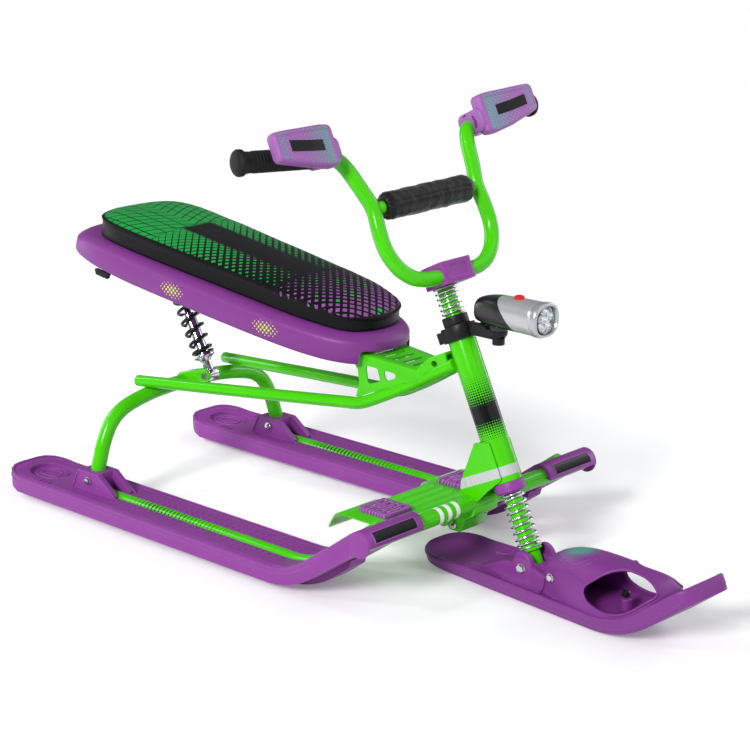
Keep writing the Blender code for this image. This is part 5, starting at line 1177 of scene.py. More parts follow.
def makeHandlebar():
    left = [Vector(point) for point in barHalf] + [onBar(1, across)[0] for across in (0.156, 0.281)]
    left = smoothPath(left, 8)
    path = [Vector((p.x, -p.y, p.z)) for p in reversed(left)] + left
    bm = bmesh.new()
    addTube(bm, path, barSettings["radius"], 36)
    newPiece("handlebar", bm, columnFrame, greenSteel)
    bm = bmesh.new()
    half = barSettings["crossHalf"]
    level = (barSettings["crossForward"], barSettings["crossLevel"])
    addTube(bm, [(level[0], y, level[1]) for y in (-half, 0, half)], barSettings["crossRadius"], 32)
    newPiece("crossbar", bm, columnFrame, greenSteel)


makeHandlebar()

# wrinkled vinyl sleeve of the crossbar: soft sheen, fine pebble grain
wrinkledVinyl = plainSurface("wrinkledVinyl", "black_vinyl", "#09090A", "#151517", 0.34, 1.1, 0.10,
                             IOR=1.5, Sheen_Weight=0.1)


def makeCrossbarPad():
    # foam sleeve in vinyl: gathered at both ends, with long wrinkles and a seam behind
    half, radius = barSettings["padHalf"], barSettings["padRadius"]
    stations = 120
    rings = []
    for step in range(stations + 1):
        share = 2 * step / stations - 1
        along = half * share
        close = abs(share)
        body = radius * (1 - 0.30 * max(0.0, (close - 0.86) / 0.14) ** 2.2)
        ring = []
        for angle in around(72):
            gather = max(0.0, (close - 0.66) / 0.34)
            pleat = math.sin(angle * 15 + 1.3 * math.sin(along * 140)) * 0.0007 * gather ** 1.5
            spot = Vector((math.cos(angle) * 1.1, math.sin(angle) * 1.1, along / 0.017))
            crease = noise.noise(spot * 1.4) * 0.0009 + noise.noise(spot * 3.3) * 0.0004
            seam = -0.0011 * math.exp(-((angle - math.pi) / 0.07) ** 2)
            size = body + pleat + crease + seam - 0.0006
            ring.append((size * math.cos(angle), size * math.sin(angle), along))
        rings.append(ring)
    first, last = ([[(x * k, y * k, z + math.copysign(shift, z)) for x, y, z in ring]
                    for k, shift in ((0.80, 0.0006), (0.62, 0.0))] for ring in (rings[0], rings[-1]))
    bm = bmesh.new()
    addLoft(bm, list(reversed(first)) + rings + last)
    place = columnFrame @ alongAxis((barSettings["crossForward"], 0, barSettings["crossLevel"]), (0, 1, 0))
    piece = newPiece("crossbarPad", bm, place, wrinkledVinyl, 60)


makeCrossbarPad()


# Grips and hand guards

gripSettings = {"start": 0.158, "end": 0.285, "radius": 0.0155, "flange": 0.0188, "ribPitch": 5.2 * mm,
                "ribDepth": 0.9 * mm}


def makeGrip(label, side):
    start, slope = onBar(side, gripSettings["start"])
    end = onBar(side, gripSettings["end"])[0]
    length = (end - start).length
    radius, flange = gripSettings["radius"], gripSettings["flange"]
    profile = [(0.0113, 0.0), (radius - 0.0018, 0.0), (radius - 0.0004, 0.0012)]
    ribs = int((length - 0.026) / gripSettings["ribPitch"])
    for index in range(ribs):
        at = 0.004 + index * gripSettings["ribPitch"]
        for share, drop in ((0.0, 0.0), (0.42, 0.0), (0.55, 1.0), (0.86, 1.0)):
            profile.append((radius - drop * gripSettings["ribDepth"], at + share * gripSettings["ribPitch"]))
    for size, back in ((radius, 0.0150), (radius + 0.0006, 0.0118), (flange - 0.0006, 0.0108),
                       (flange, 0.0098), (flange, 0.0050), (flange - 0.0010, 0.0034),
                       (flange - 0.0032, 0.0018), (0.0105, 0.0004), (0.0060, 0.0), (0, 0.0)):
        profile.append((size, length - back))
    bm = bmesh.new()
    addLathe(bm, profile, 56, alongAxis(start, slope))
    newPiece("grip" + label, bm, columnFrame, gripRubber, 50)


guardSettings = {"corner": 9.0 * mm, "depth": 17.0 * mm, "wall": 2.6 * mm, "ringAt": 0.150,
                 "ringWidth": 0.013, "dotPitch": 5.4 * mm}
# stations of the guard's face: across, forward, lower edge, upper edge
guardFace = [(0.1395, 0.0390, 0.6580, 0.7165), (0.1600, 0.0425, 0.6570, 0.7185),
             (0.1900, 0.0470, 0.6620, 0.7180), (0.2200, 0.0480, 0.6700, 0.7185),
             (0.2480, 0.0465, 0.6780, 0.7185)]


def guardPrint(tree, colour, roughness):
    # green printed dots on the front face, largest towards the inner end
    place = addNode(tree, "SeparateXYZ", {0: inFrame(tree, columnFrame)})
    across = addNode(tree, "Math", {0: place.outputs["Y"]}, operation='ABSOLUTE')
    flat = addNode(tree, "CombineXYZ", {"X": across, "Y": place.outputs["Z"]})
    turned = addNode(tree, "Mapping", {"Vector": flat, "Rotation": (0, 0, math.radians(45))})
    size = addNode(tree, "MapRange", {"Value": across, "From Min": 0.150, "From Max": 0.222, "To Min": 0.44,
                                      "To Max": 0.06})
    outer = addNode(tree, "MapRange", {"Value": across, "From Min": 0.215, "From Max": 0.238, "To Min": 0.0,
                                       "To Max": 0.36})
    size = addNode(tree, "Math", {0: size, 1: outer}, operation='MAXIMUM')
    dots = dotScreen(tree, turned, guardSettings["dotPitch"], size)
    normal = addNode(tree, "VectorMath", {0: addNode(tree, "NewGeometry").outputs["Normal"],
                                          1: columnFrame.to_3x3().col[0]}, operation='DOT_PRODUCT')
    front = addNode(tree, "Math", {0: normal.outputs["Value"], 1: 0.90}, operation='GREATER_THAN')
    inside = bandBetween(tree, across, 0.1500, 0.2400)
    dots = allOf(tree, dots, front, inside)
    colour = inked(tree, 0.30, colour, "guardTint")
    return inked(tree, dots, colour, "guardDots"), roughness


guardPlastic = colouredSurface("mouldedPolyethyleneGuard", plasticSettings, guardPrint)


def guardAt(across, item):
    for low, high in zip(guardFace, guardFace[1:]):
        if across <= high[0] or high is guardFace[-1]:
            share = (across - low[0]) / (high[0] - low[0])
            return low[item] + (high[item] - low[item]) * share


def guardRing(side, outline, inset, back):
    # the guard's outline drawn in by an inset, set back from its face, following the face's bend
    ring = []
    shrink = max(0.0, inset - 0.0080) / 0.035
    for point in insetOutline(outline, min(inset, 0.0080)):
        point = point.lerp(Vector((0.1940, 0.6905)), shrink)
        ring.append((guardAt(point.x, 1) - back, side * point.x, point.y))
    return ring


def makeGuardClamp(label, side):
    # moulded foot of the guard round the bar, with a scoop in its inner face
    bm = bmesh.new()
    rings = []
    for across, inset in ((0.1350, 0.0040), (0.1354, 0.0020), (0.1366, 0.0006), (0.1385, 0.0), (0.1600, 0.0),
                          (0.1620, 0.0010), (0.1626, 0.0030)):
        corners = [(-0.0140 + inset, 0.6640 + inset), (0.0390 - inset, 0.6640 + inset),
                   (0.0390 - inset, 0.6990 - inset), (-0.0140 + inset, 0.6990 - inset)]
        rings.append([(x, side * across, z) for x, z in roundCorners(corners, 0.0110, 6)])
    addLoft(bm, rings)
    piece = newPiece("guardClamp" + label, bm, columnFrame, guardPlastic, 45, "steering_column")
    scoops = ([(0.0185, 0.6690), (0.0260, 0.6720), (0.0280, 0.6810), (0.0240, 0.6900), (0.0190, 0.6920),
               (0.0215, 0.6810)],
              [(-0.0030, 0.6930), (0.0060, 0.6945), (0.0130, 0.6930), (0.0060, 0.6970)])
    for corners in scoops:
        scoop = bmesh.new()
        addPrism(scoop, roundCorners(corners, 0.002, 4), 0.012, 'xz', side * 0.1355)
        cutAway(piece, scoop, columnFrame)


def makeGuard(label, side):
    s = guardSettings
    lower = [(row[0], row[2]) for row in guardFace]
    upper = [(row[0], row[3]) for row in reversed(guardFace)]
    outline = roundCorners(lower + upper, s["corner"], 6)
    fine = []
    for index, point in enumerate(outline):
        following = Vector(outline[(index + 1) % len(outline)])
        steps = max(1, round((following - Vector(point)).length / 0.006))
        fine += [tuple(Vector(point).lerp(following, k / steps)) for k in range(steps)]
    wall, depth = s["wall"], s["depth"]
    layers = [(wall + 0.0012, depth), (0.0006, depth), (0.0, depth - 0.0008), (0.0, 0.0065),
              (0.0004, 0.0040), (0.0014, 0.0020), (0.0032, 0.0006), (0.0050, 0.0), (0.0066, 0.0),
              (0.0074, 0.0007), (0.0130, 0.0005), (0.0185, 0.0003)]
    rings = [guardRing(side, fine, inset, back) for inset, back in layers]
    inner = [(0.0185, 0.0003 + wall + 0.0008), (0.0074, wall + 0.0012), (wall + 0.0030, wall + 0.0030),
             (wall + 0.0014, wall + 0.0060)]
    hollow = [guardRing(side, fine, inset, back) for inset, back in inner]
    bm = bmesh.new()
    addLoft(bm, list(reversed(rings)) + list(reversed(hollow)))
    middle, slope = onBar(side, s["ringAt"])
    width = s["ringWidth"]
    bore = barSettings["radius"] + 0.2 * mm
    outer = barSettings["radius"] + 4.5 * mm
    addSleeve(bm, -width / 2, width / 2, outer, bore, 1.2 * mm, 3, 40, alongAxis(middle, slope))
    corners = ((-0.0058, -0.009), (0.0058, -0.009), (0.0058, 0.009), (-0.0058, 0.009))
    arm = roundCorners([(middle.y + across, middle.z + rise) for across, rise in corners], 2.0 * mm, 4)
    low, high = middle.x + 0.0125, 0.0375
    addPrism(bm, arm, high - low, 'yz', (low + high) / 2)
    newPiece("handGuard" + label, bm, columnFrame, guardPlastic, 45)
    makeGuardLabel(label, side)
    makeGuardClamp(label, side)


def makeGuardLabel(label, side):
    # bare label plate on the face, bent with it
    low, high, half = 0.1660, 0.2250, 0.0078
    rings = []
    count = 12
    for k in range(count + 1):
        across = low + (high - low) * k / count
        middle = (guardAt(across, 2) + guardAt(across, 3)) / 2
        ahead = guardAt(across, 1) - 0.0004
        rings.append([(ahead + lift, side * across, middle + rise * half)
                      for lift, rise in ((0.0005, -1), (0.0005, 1), (-0.0006, 1), (-0.0006, -1))])
    bm = bmesh.new()
    addLoft(bm, rings)
    newPiece("guardLabel" + label, bm, columnFrame, labelFilm, body="steering_column")


for gripLabel, gripSide in bothSides:
    makeGrip(gripLabel, gripSide)
    makeGuard(gripLabel, gripSide)
print("handlebar made")


# Seat

seatSettings = {"panBottom": -0.0176, "panTop": 0.0255, "panWall": 0.004, "piping": 0.0552, "crown": 0.013,
                "noseDrop": 0.0105, "tailRise": 0.015, "dotClusters": (-0.315, -0.118)}
# half outlines in plan, from the nose to the tail
panHalf = [(0.052, 0.0), (0.045, 0.036), (0.020, 0.068), (-0.025, 0.0900), (-0.100, 0.1030), (-0.250, 0.1120),
           (-0.420, 0.1170), (-0.512, 0.1165), (-0.562, 0.1010), (-0.583, 0.0600), (-0.588, 0.0)]
cushionHalf = [(0.027, 0.0), (0.021, 0.034), (0.002, 0.0600), (-0.045, 0.0745), (-0.100, 0.0820),
               (-0.200, 0.0870), (-0.310, 0.0925), (-0.410, 0.0965), (-0.486, 0.0950), (-0.527, 0.0800),
               (-0.545, 0.0450), (-0.549, 0.0)]


def seatOutline(half, perSpan=8):
    whole = half + [(x, -y) for x, y in reversed(half[1:-1])]
    curve = smoothPath([(x, y, 0) for x, y in whole], perSpan, closed=True)
    return [point.to_2d() for point in curve]


def panPrint(tree, colour, roughness):
    # two small clusters of printed dots on the pan's sides, over the same painted shade that darkens the front ski
    colour, roughness = shadeDarkened(tree, colour, roughness)
    place = addNode(tree, "SeparateXYZ", {0: inFrame(tree, seatFrame)})
    flat = addNode(tree, "CombineXYZ", {"X": place.outputs["X"], "Y": place.outputs["Z"]})
    away = None
    for middle in seatSettings["dotClusters"]:
        shifted = addNode(tree, "VectorMath", {0: flat, 1: (-middle, -0.0010, 0)}, operation='ADD')
        scaled = addNode(tree, "VectorMath", {0: shifted, 1: (1 / 0.027, 1 / 0.012, 0)},
                         operation='MULTIPLY')
        distance = addNode(tree, "VectorMath", {0: scaled}, operation='LENGTH').outputs["Value"]
        if away:
            distance = addNode(tree, "Math", {0: away, 1: distance}, operation='MINIMUM').outputs[0]
        away = distance
    size = addNode(tree, "MapRange", {"Value": away, "From Min": 0.3, "From Max": 1.1,
                                      "To Min": 0.36, "To Max": 0.12})
    inside = addNode(tree, "Math", {0: away, 1: 1.0}, operation='LESS_THAN')
    size = allOf(tree, size, inside)
    turned = addNode(tree, "Mapping", {"Vector": flat, "Rotation": (0, 0, 0.6)})
    dots = dotScreen(tree, turned, 5.6 * mm, size)
    across = addNode(tree, "Math", {0: place.outputs["Y"]}, operation='ABSOLUTE')
    outer = addNode(tree, "Math", {0: across, 1: 0.085}, operation='GREATER_THAN')
    dots = allOf(tree, dots, outer)
    return inked(tree, dots, colour, "panDots"), roughness


panPlastic = colouredSurface("mouldedPolyethylenePan", plasticSettings, panPrint)


def makeSeatPan():
    outline = seatOutline(panHalf)
    bottom = seatSettings["panBottom"]
    top = seatSettings["panTop"]
    wall = seatSettings["panWall"]
    outerLevels = [(bottom, 0.0030), (bottom + 0.0008, 0.0012), (bottom + 0.003, 0.0),
                   (bottom + 0.016, 0.0006), (top - 0.0140, 0.0018), (top - 0.0112, 0.0027),
                   (top - 0.0100, 0.0034), (top - 0.0080, 0.0052), (top - 0.0052, 0.0088),
                   (top - 0.0028, 0.0126), (top - 0.0010, 0.0165), (top, 0.0200), (top + 0.0002, 0.0300)]
    innerLevels = [(bottom, 0.0040), (bottom + 0.001, 0.0042), (top - 0.016, 0.0060), (top - 0.010, 0.0100),
                   (top - wall - 0.002, 0.0165), (top - wall, 0.0240)]
    bm = bmesh.new()
    levels = list(reversed(innerLevels)) + outerLevels
    rings = []
    for height, distance in levels:
        below = 1 - min(1.0, (height - bottom) / (top - 0.010 - bottom))
        ring = []
        for point in insetOutline(outline, distance):
            tail = max(0.0, (-0.400 - point.x) / 0.188) ** 1.7
            ring.append((point.x, point.y, height + seatSettings["tailRise"] * tail * max(0.0, below)))
        rings.append(ring)
    addLoft(bm, rings)
    piece = newPiece("seatPan", bm, seatFrame, panPlastic)
    # mouth in the pan's nose for the seat bracket
    notch = bmesh.new()
    corners = [(-0.055, -0.040), (0.055, -0.040), (0.055, 0.004), (-0.055, 0.004)]
    addPrism(notch, roundCorners(corners, 0.008, 5), 0.10, 'yz', 0.065)
    cutAway(piece, notch, seatFrame)


makeSeatPan()


cushionPrintSettings = {"barPitch": 17.0 * mm, "ribPitch": 21.0 * mm, "spotPitch": 10.5 * mm,
                        "spots": (-0.390, -0.130), "nose": -0.125, "bare": (0.028, 0.034)}


def cushionPrint():
    # sewn vinyl pad: black leather grain with a printed top that runs from green to mauve
    material, tree = newMaterial("printedVinyl")
    local = inFrame(tree, seatFrame)
    place = addNode(tree, "SeparateXYZ", {0: local})
    along = place.outputs["X"]
    s = cushionPrintSettings
    rearEnd, frontEnd = s["spots"]
    side = addNode(tree, "Math", {0: place.outputs["Y"]}, operation='ABSOLUTE')
    pebble = addNode(tree, "TexVoronoi", {"Vector": local, "Scale": 1 / (1.5 * mm)})
    fineGrain = addNode(tree, "TexNoise", {"Vector": local, "Scale": 1 / (0.6 * mm), "Detail": 2.0})
    black = addNode(tree, "Mix", {0: pebble, 6: linear(printColours["vinylDark"]),
                                  7: linear(printColours["vinylLight"])}, data_type='RGBA')
    # slanted bars at the rear third
    slant = addNode(tree, "Math", {0: side, 1: 0.55}, operation='MULTIPLY')
    slant = addNode(tree, "Math", {0: along, 1: slant}, operation='ADD')
    slanted = repeating(tree, slant, s["barPitch"], 0.86)
    ribs = repeating(tree, side, s["ribPitch"], 0.91)
    rear = addNode(tree, "MapRange", {"Value": along, "From Min": rearEnd + 0.005,
                                      "From Max": rearEnd - 0.005})
    bars = allOf(tree, slanted, ribs, rear)
    # square spots that shrink forward, beside a bare centre
    turned = addNode(tree, "Mapping", {"Vector": local, "Rotation": (0, 0, math.radians(45))})
    size = addNode(tree, "MapRange", {"Value": along, "From Min": rearEnd, "From Max": frontEnd,
                                      "To Min": 0.45, "To Max": 0.12})
    spots = dotScreen(tree, turned, s["spotPitch"], size, 'CHEBYCHEV')
    middle = addNode(tree, "MapRange", {"Value": side, "From Min": s["bare"][0],
                                        "From Max": s["bare"][1]})
    front = addNode(tree, "Math", {0: along, 1: frontEnd}, operation='LESS_THAN')
    behind = addNode(tree, "Math", {0: along, 1: rearEnd}, operation='GREATER_THAN')
    spots = allOf(tree, spots, middle, front, behind)
    # mauve spots at the nose, growing forward, with a few green ones among them
    size = addNode(tree, "MapRange", {"Value": along, "From Min": -0.135, "From Max": 0.01, "To Min": 0.10,
                                      "To Max": 0.33})
    noseSpots = dotScreen(tree, turned, s["spotPitch"], size, 'CHEBYCHEV')
    nose = addNode(tree, "Math", {0: along, 1: s["nose"]}, operation='GREATER_THAN')
    patches = addNode(tree, "TexNoise", {"Vector": local, "Scale": 1 / (22 * mm), "Detail": 0.0})
    few = addNode(tree, "Math", {0: patches, 1: 0.66}, operation='GREATER_THAN')
    mauve = addNode(tree, "Mix", {0: few, 6: linear(printColours["spotMauve"]),
                                  7: linear(printColours["spotGreen"])}, data_type='RGBA')
    green = addNode(tree, "MapRange", {"Value": along, "From Min": -0.50, "From Max": -0.20})
    green = addNode(tree, "Mix", {0: green, 6: linear(printColours["printRear"]),
                                  7: linear(printColours["printFront"])}, data_type='RGBA')
    # only the top face carries print
    topFace = addNode(tree, "MapRange", {"Value": place.outputs["Z"], "From Min": 0.0570, "From Max": 0.0585})
    greens = addNode(tree, "Math", {0: bars, 1: spots}, operation='MAXIMUM')
    greens = allOf(tree, greens, topFace)
    noseTop = addNode(tree, "MapRange", {"Value": place.outputs["Z"], "From Min": 0.0480, "From Max": 0.0500})
    mauves = allOf(tree, noseSpots, nose, noseTop)
    colour = addNode(tree, "Mix", {0: greens, 6: black, 7: green}, data_type='RGBA')
    colour = addNode(tree, "Mix", {0: mauves, 6: colour, 7: mauve}, data_type='RGBA')
    height = addNode(tree, "Math", {0: pebble, 1: fineGrain}, operation='ADD')
    bump = addNode(tree, "Bump", {"Height": height, "Strength": 0.22, "Distance": 0.18 * mm})
    roughness = addNode(tree, "MapRange", {"Value": fineGrain, "To Min": 0.30, "To Max": 0.46})
    shader = addNode(tree, "BsdfPrincipled", {"Base Color": colour, "Roughness": roughness, "Normal": bump,
                                              "IOR": 1.5, "Specular IOR Level": 0.10})
    addNode(tree, "OutputMaterial", {"Surface": shader})
    return material


printedVinyl = cushionPrint()


def makeCushion():
    outline = seatOutline(cushionHalf, 10)
    base = seatSettings["panTop"] + 0.6 * mm
    piping = seatSettings["piping"]
    levels = [(base, 0.0030), (base + 0.0012, 0.0018), (base + 0.004, 0.0012), (base + 0.010, 0.0016),
              (piping - 0.010, 0.0022), (piping - 0.005, 0.0018), (piping - 0.0025, 0.0012)]
    for step in range(7):
        angle = math.radians(-70 + 200 * step / 6)
        levels.append((piping + 0.0010 * math.sin(angle) + 0.0002, 0.0010 - 0.0010 * math.cos(angle)))
    levels += [(piping + 0.0007, 0.0030), (piping + 0.0022, 0.0046)]
    levels = [(height, distance, 0.0) for height, distance in levels]
    for step in range(1, 19):
        share = step / 18
        rise = (seatSettings["crown"] - 0.0022) * math.sin(share * math.pi / 2) ** 0.9
        levels.append((piping + 0.0022 + rise, 0.0046, 0.94 * share ** 1.3))
    rings = []
    for height, distance, shrink in levels:
        ring = []
        for point in insetOutline(outline, distance):
            spine = Vector((min(max(point.x, -0.465), -0.045), 0))
            point = point.lerp(spine, shrink)
            nose = max(0.0, (point.x + 0.10) / 0.127)
            above = min((height - base) / (piping - base), 1.0)
            sway = noise.noise(Vector((point.x * 22, point.y * 22, height * 40))) * 0.0006
            lifted = height - seatSettings["noseDrop"] * nose ** 2 * above
            ring.append((point.x, point.y, lifted + sway * above))
        rings.append(ring)
    bm = bmesh.new()
    last = addLoft(bm, rings, endCap=False)[-1]
    count = len(last)
    for k in range(count // 2):
        corners = [last[k], last[k + 1], last[(count - k - 1) % count], last[(count - k) % count]]
        bm.faces.new(list(dict.fromkeys(corners)))
    piece = newPiece("seatCushion", bm, seatFrame, printedVinyl, 60)


makeCushion()
print("seat made")


# Shock absorber

shockSettings = {"length": 0.185, "lowerSeat": 0.030, "upperSeat": 0.155, "bodyTop": 0.105, "seat": 0.0178,
                 "body": 0.0100, "rod": 0.0050, "coil": 0.0158, "wire": 0.0027, "turns": 7.5,
                 "springLow": 0.0333, "springHigh": 0.1547}


def addEye(bm, height, hole=4.2 * mm):
    outer = half = 10.0 * mm
    addSleeve(bm, -half, half, outer, hole, 1.0 * mm, 3, 40, alongAxis((0, 0, height), (0, 1, 0)))


def makeShock():
    s = shockSettings
    low, rod = s["lowerSeat"], s["rod"] + 0.3 * mm
    bm = bmesh.new()
    addLathe(bm, roundCorners([(0, low), (rod, low + 0.002), (rod, s["bodyTop"]), (s["body"], s["bodyTop"]),
                               (s["body"], low + 0.003), (s["seat"], low + 0.003), (s["seat"], low),
                               (s["body"] + 0.001, low - 0.003), (0.0078, low - 0.008), (0.0078, 0.008),
                               (0, 0.008)], 0.8 * mm, 3, closed=False), 44)
    addEye(bm, 0.0)
    newPiece("shockBody", bm, shockFrame, chromedSteel)
    bm = bmesh.new()
    top, high = s["length"], s["upperSeat"]
    addLathe(bm, roundCorners([(0, top - 0.008), (0.0078, top - 0.008), (0.0078, high + 0.010),
                               (s["seat"] - 0.001, high + 0.006), (s["seat"], high + 0.003),
                               (s["seat"], high), (s["rod"], high), (s["rod"], low + 0.040),
                               (0, low + 0.040)], 0.8 * mm, 3, closed=False), 44)
    addEye(bm, top, 5.0 * mm)
    newPiece("shockRod", bm, shockFrame, blackSteel)
    bm = bmesh.new()
    ends = (s["springLow"], s["springHigh"])
    addTube(bm, helixPath(s["coil"], *ends, s["turns"], s["wire"]), s["wire"], 16, 0.6 * mm)
    piece = newPiece("shockSpring", bm, shockFrame, blackSteel)
    piece.parent = None
    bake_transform(piece)


makeShock()


# Bolts, pins and the brake's spring

def addHexBolt(bm, start, end, shank, acrossFlats, headHeight, washer=True):
    start, end = Vector(start), Vector(end)
    place = alongAxis(start, end - start)
    length = (end - start).length
    corner = acrossFlats / 2 / math.cos(math.pi / 6)
    low, high = -0.2 * mm, length + 0.2 * mm
    addLathe(bm, [(0, low), (shank, low), (shank, high), (0, high)], 24, place)
    plate = 0.9 * mm if washer else 0.0
    for origin, direction, tall in ((0.0, -1, headHeight), (length, 1, headHeight * 0.9)):
        side = place @ Matrix.Translation((0, 0, origin)) @ Matrix.Scale(direction, 4, (0, 0, 1))
        if washer:
            addLathe(bm, roundCorners([(corner * 1.18, 0.1 * mm), (corner * 1.18, plate), (shank, plate),
                                       (shank, 0.1 * mm)], 0.2 * mm, 2), 32, side, ring=True)
        low = plate + 0.05 * mm
        top = low + tall
        addLathe(bm, [(0, low), (corner * 0.97, low), (corner, low + 0.3 * mm), (corner, top - 0.6 * mm),
                      (corner * 0.88, top), (0, top)], 6, side, turn=0.26)
        if direction > 0:
            addLathe(bm, [(0, top), (shank * 0.95, top), (shank * 0.95, top + 1.2 * mm),
                          (shank * 0.7, top + 1.6 * mm), (0, top + 1.6 * mm)], 24, side)


def addPin(bm, start, end, shank, head, headHeight):
    start, end = Vector(start), Vector(end)
    length = (end - start).length
    low, high = -0.3 * mm, length + 0.3 * mm
    profile = [(0, high + headHeight), (head, high + headHeight), (head, high), (shank, high), (shank, low),
               (head, low), (head, low - headHeight), (0, low - headHeight)]
    addLathe(bm, roundCorners(profile, 0.35 * headHeight, 3, closed=False), 36, alongAxis(start, end - start))


def makeFasteners():
    for label, side in bothSides:
        bm = bmesh.new()
        outer, inner = (Vector((archAt, side * (skiCentre + shift), bossBoltHeight))
                        for shift in (bossHalf, -bossHalf))
        addHexBolt(bm, outer, inner, 3.0 * mm, 9.6 * mm, 3.0 * mm)
        newPiece("rearSkiBolt" + label, bm, sledFrame, chromedSteel, 25)
    # bolts and pins across the sled: name, frame, (along, half width, up), sizes in mm, metal
    bolts = (("skiPivotBolt", frontFrame, (0, 0.028, 0), (4.0, 11.5, 3.6), chromedSteel),
             ("cowlBolt", frontFrame, (0.061, 0.0323, 0.006), (3.0, 9.0, 2.8), chromedSteel),
             ("shockLowerBolt", sledFrame, (-0.355, 0.0138, 0.191), (4.0, 11.0, 3.6), zincSteel))
    for name, place, (x, half, z), sizes, metal in bolts:
        bm = bmesh.new()
        washer = name != "shockLowerBolt"
        addHexBolt(bm, (x, -half, z), (x, half, z), *[size * mm for size in sizes], washer)
        newPiece(name, bm, place, metal, 25)
    pins = (("towPin", sledFrame, (0.188, 0.026, 0.0745), 5.6, chromedSteel),
            ("brakePivotPin", sledFrame, (0.185, 0.0483, 0.086), 6.0, zincSteel),
            ("seatHingePin", seatFrame, (0, 0.0453, 0), 6.0, zincSteel))
    for name, place, (x, half, z), head, metal in pins:
        bm = bmesh.new()
        addPin(bm, (x, -half, z), (x, half, z), 4.0 * mm, head * mm, 3.5 * mm)
        newPiece(name, bm, place, metal)
    bm = bmesh.new()
    reach = 0.0227
    addTube(bm, helixPath(6.6 * mm, -reach, reach, 3.5, 1.1 * mm), 1.1 * mm, 12, 0.3 * mm)
    newPiece("brakeSpring", bm, brakeFrame @ Matrix.Rotation(-math.pi / 2, 4, 'X'), zincSteel)
    softened("cowlNut", 0.6 * mm, blackNylon, 25)


makeFasteners()
print("fasteners made")


# Lamp

lampSettings = {"rear": -0.038, "front": 0.086, "axis": 0.028, "halfWidth": 0.027, "halfHeight": 0.0235,
                "bezel": 0.012, "lens": 0.0195, "button": 0.036, "buttonRadius": 0.0075}


def lampRing(x, halfWidth, halfHeight, height):
    return [(x, squared(math.cos(a)) * halfWidth, squared(math.sin(a)) * halfHeight + height)
            for a in around(64)]


def lampShellMaterial():
    # moulded ABS: the rear half black, the front lacquered silver, parted on a slant
    material, tree = newMaterial("lacqueredAbs")
    local = inFrame(tree, lampFrame)
    place = addNode(tree, "SeparateXYZ", {0: local})
    slant = addNode(tree, "Math", {0: place.outputs["Z"], 1: 0.85}, operation='MULTIPLY')
    slant = addNode(tree, "Math", {0: place.outputs["X"], 1: slant}, operation='ADD')
    front = addNode(tree, "MapRange", {"Value": slant, "From Min": 0.0500, "From Max": 0.0504})
    flake = addNode(tree, "TexNoise", {"Vector": local, "Scale": 1 / (0.5 * mm), "Detail": 2.0})
    silver = addNode(tree, "Mix", {0: flake, 6: linear("#A9ABAE"), 7: linear("#D2D3D5")}, data_type='RGBA')
    colour = addNode(tree, "Mix", {0: front, 6: linear("#111113"), 7: silver}, data_type='RGBA')
    metallic = addNode(tree, "Math", {0: front, 1: 0.55}, operation='MULTIPLY')
    bump = addNode(tree, "Bump", {"Height": flake, "Strength": 0.08, "Distance": 0.05 * mm})
    shader = addNode(tree, "BsdfPrincipled", {"Base Color": colour, "Metallic": metallic, "Roughness": 0.32,
                                              "Normal": bump, "IOR": 1.53})
    addNode(tree, "OutputMaterial", {"Surface": shader})
    return material


def lensMaterial():
    # clear polycarbonate, polished: the cups show through it
    material, tree = newMaterial("clearPolycarbonate")
    place = addNode(tree, "TexCoord").outputs["Object"]
    haze = addNode(tree, "TexNoise", {"Vector": place, "Scale": 1 / (6 * mm)})
    roughness = addNode(tree, "MapRange", {"Value": haze, "To Min": 0.02, "To Max": 0.07})
    shader = addNode(tree, "BsdfPrincipled", {"Base Color": linear("#F4F8FA"), "Roughness": roughness,
                                              "Transmission Weight": 1.0, "IOR": 1.585})
    addNode(tree, "OutputMaterial", {"Surface": shader})
    return material


lampShell = lampShellMaterial()
clearLens = lensMaterial()
# lacquered silver ring of the lamp's mouth
silverBezel = plainSurface("lacqueredBezel", "silver_plastic", "#A4A6A9", "#C9CACC", 0.30, 0.5, 0.02,
                           Metallic=0.6)


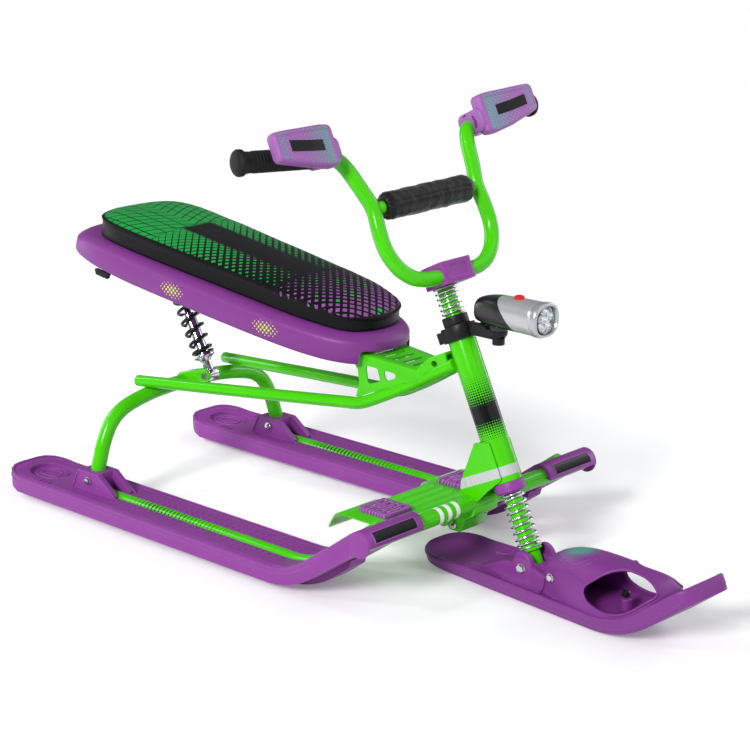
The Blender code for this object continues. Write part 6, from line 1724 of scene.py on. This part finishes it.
def makeLamp():
    s = lampSettings
    mouth = s["front"] - s["bezel"] - 0.3 * mm
    axis = s["axis"]
    half, tall = s["halfWidth"], s["halfHeight"]
    outer = [(s["rear"], 0.0070, 0.0080, -0.0042), (s["rear"] + 0.0012, 0.0105, 0.0120, -0.004),
             (s["rear"] + 0.004, 0.0140, 0.0160, -0.003), (s["rear"] + 0.010, 0.0165, 0.0185, -0.002),
             (s["rear"] + 0.020, 0.0188, 0.0206, -0.001), (s["rear"] + 0.035, 0.0215, 0.0220, 0.0),
             (s["rear"] + 0.050, 0.0236, 0.0229, 0.0), (mouth - 0.030, half - 0.0018, tall, 0.0),
             (mouth - 0.020, half - 0.0008, tall, 0.0), (mouth - 0.0008, half, tall, 0.0),
             (mouth, half - 0.0006, tall - 0.0006, 0.0)]
    inner = [(mouth, half - 0.0022, tall - 0.0022, 0.0), (mouth - 0.010, half - 0.0024, tall - 0.0024, 0.0),
             (mouth - 0.012, half - 0.0120, tall - 0.0120, 0.0)]
    fine = smoothPath([Vector((a, b, c)) for a, b, c, _ in outer[:-1]], 4)
    drops = smoothPath([Vector((d, 0, 0)) for _, _, _, d in outer[:-1]], 4)
    rings = [lampRing(p.x, p.y, p.z, axis + d.x) for p, d in zip(fine, drops)]
    rings.append(lampRing(*outer[-1][:3], axis))
    rings += [lampRing(x, width, height, axis + drop) for x, width, height, drop in inner]
    bm = bmesh.new()
    addLoft(bm, rings)
    foot = axis - tall + 0.003
    addLathe(bm, roundCorners([(0, 0.0), (0.013, 0.0), (0.013, foot), (0, foot)], 0.8 * mm, 3,
                              closed=False), 40)
    newPiece("lampHousing", bm, lampFrame, lampShell, 50)

    # bezel with an oval mouth that follows the lens
    front = s["front"]
    lens = s["lens"]
    rings = [lampRing(x, half + wider, tall + higher, axis) for x, wider, higher in (
        (mouth + 0.3 * mm, 0.0006, 0.0006), (mouth + 0.8 * mm, 0.0010, 0.0010),
        (front - 0.0040, 0.0010, 0.0010), (front - 0.0012, 0.0002, 0.0002), (front, -0.0018, -0.0018),
        (front - 0.0004, -0.0040, -0.0036))]
    rings += [lampRing(front - 0.0045, lens + 0.0012, lens + 0.0004, axis),
              lampRing(front - 0.0100, lens + 0.0006, lens + 0.0002, axis)]
    bm = bmesh.new()
    rows = addLoft(bm, rings, False, False)
    for index in range(64):
        following = (index + 1) % 64
        bm.faces.new((rows[-1][index], rows[-1][following], rows[0][following], rows[0][index]))
    newPiece("lampBezel", bm, lampFrame, silverBezel, 50)

    place = alongAxis((front - 0.0055, 0, axis), (1, 0, 0))
    bm = bmesh.new()
    cup = s["lens"]
    dome = [(cup * math.sin(a), 0.0016 + 0.0030 * math.cos(a))
            for a in (math.pi / 2 * k / 10 for k in range(11))]
    addLathe(bm, dome + [(cup, 0.0), (cup * 0.9, 0.0), (0, 0.0008)], 64, place)
    newPiece("lampLens", bm, lampFrame, clearLens, 40)

    # six small cups in the reflector, one in the middle and five round it, each with its diode
    bm = bmesh.new()
    addLathe(bm, roundCorners([(cup - 0.0002, -0.0004), (cup - 0.0002, -0.0085), (0, -0.0085), (0, -0.0076),
                               (cup - 0.0016, -0.0076), (cup - 0.0014, -0.0004)], 0.4 * mm, 2), 64, place)
    cupCentres = [(0.0, 0.0)] + [(0.0112 * math.cos(a), 0.0112 * math.sin(a))
                                 for a in (math.pi / 2 + turn for turn in around(5))]
    for u, v in cupCentres:
        side = place @ Matrix.Translation((u, v, 0))
        flare = [(0.0054, -0.0012), (0.0057, -0.0014), (0.0057, -0.0022), (0.0035, -0.0072),
                 (0.0016, -0.0076), (0.0016, -0.0070), (0.0031, -0.0066), (0.0050, -0.0030)]
        addLathe(bm, flare, 28, side, ring=True)
        diode = [(0, -0.0076), (0.0014, -0.0076), (0.0014, -0.0055), (0.0009, -0.0046), (0, -0.0043)]
        addLathe(bm, diode, 18, side)
    newPiece("lampReflector", bm, lampFrame, mirrorCup, 40)

    bm = bmesh.new()
    top = axis + tall
    rings = []
    for height, shrink in ((-0.0035, 0.0), (0.0022, 0.0), (0.0034, 0.10), (0.0042, 0.30), (0.0045, 0.62)):
        reach = s["buttonRadius"] * (1 - shrink)
        rings.append([(s["button"] + reach * math.cos(a), reach * math.sin(a), top + height)
                      for a in around(48)])
    addLoft(bm, rings)
    newPiece("lampButton", bm, lampFrame, redPlastic, 60)


makeLamp()
print("lamp made")
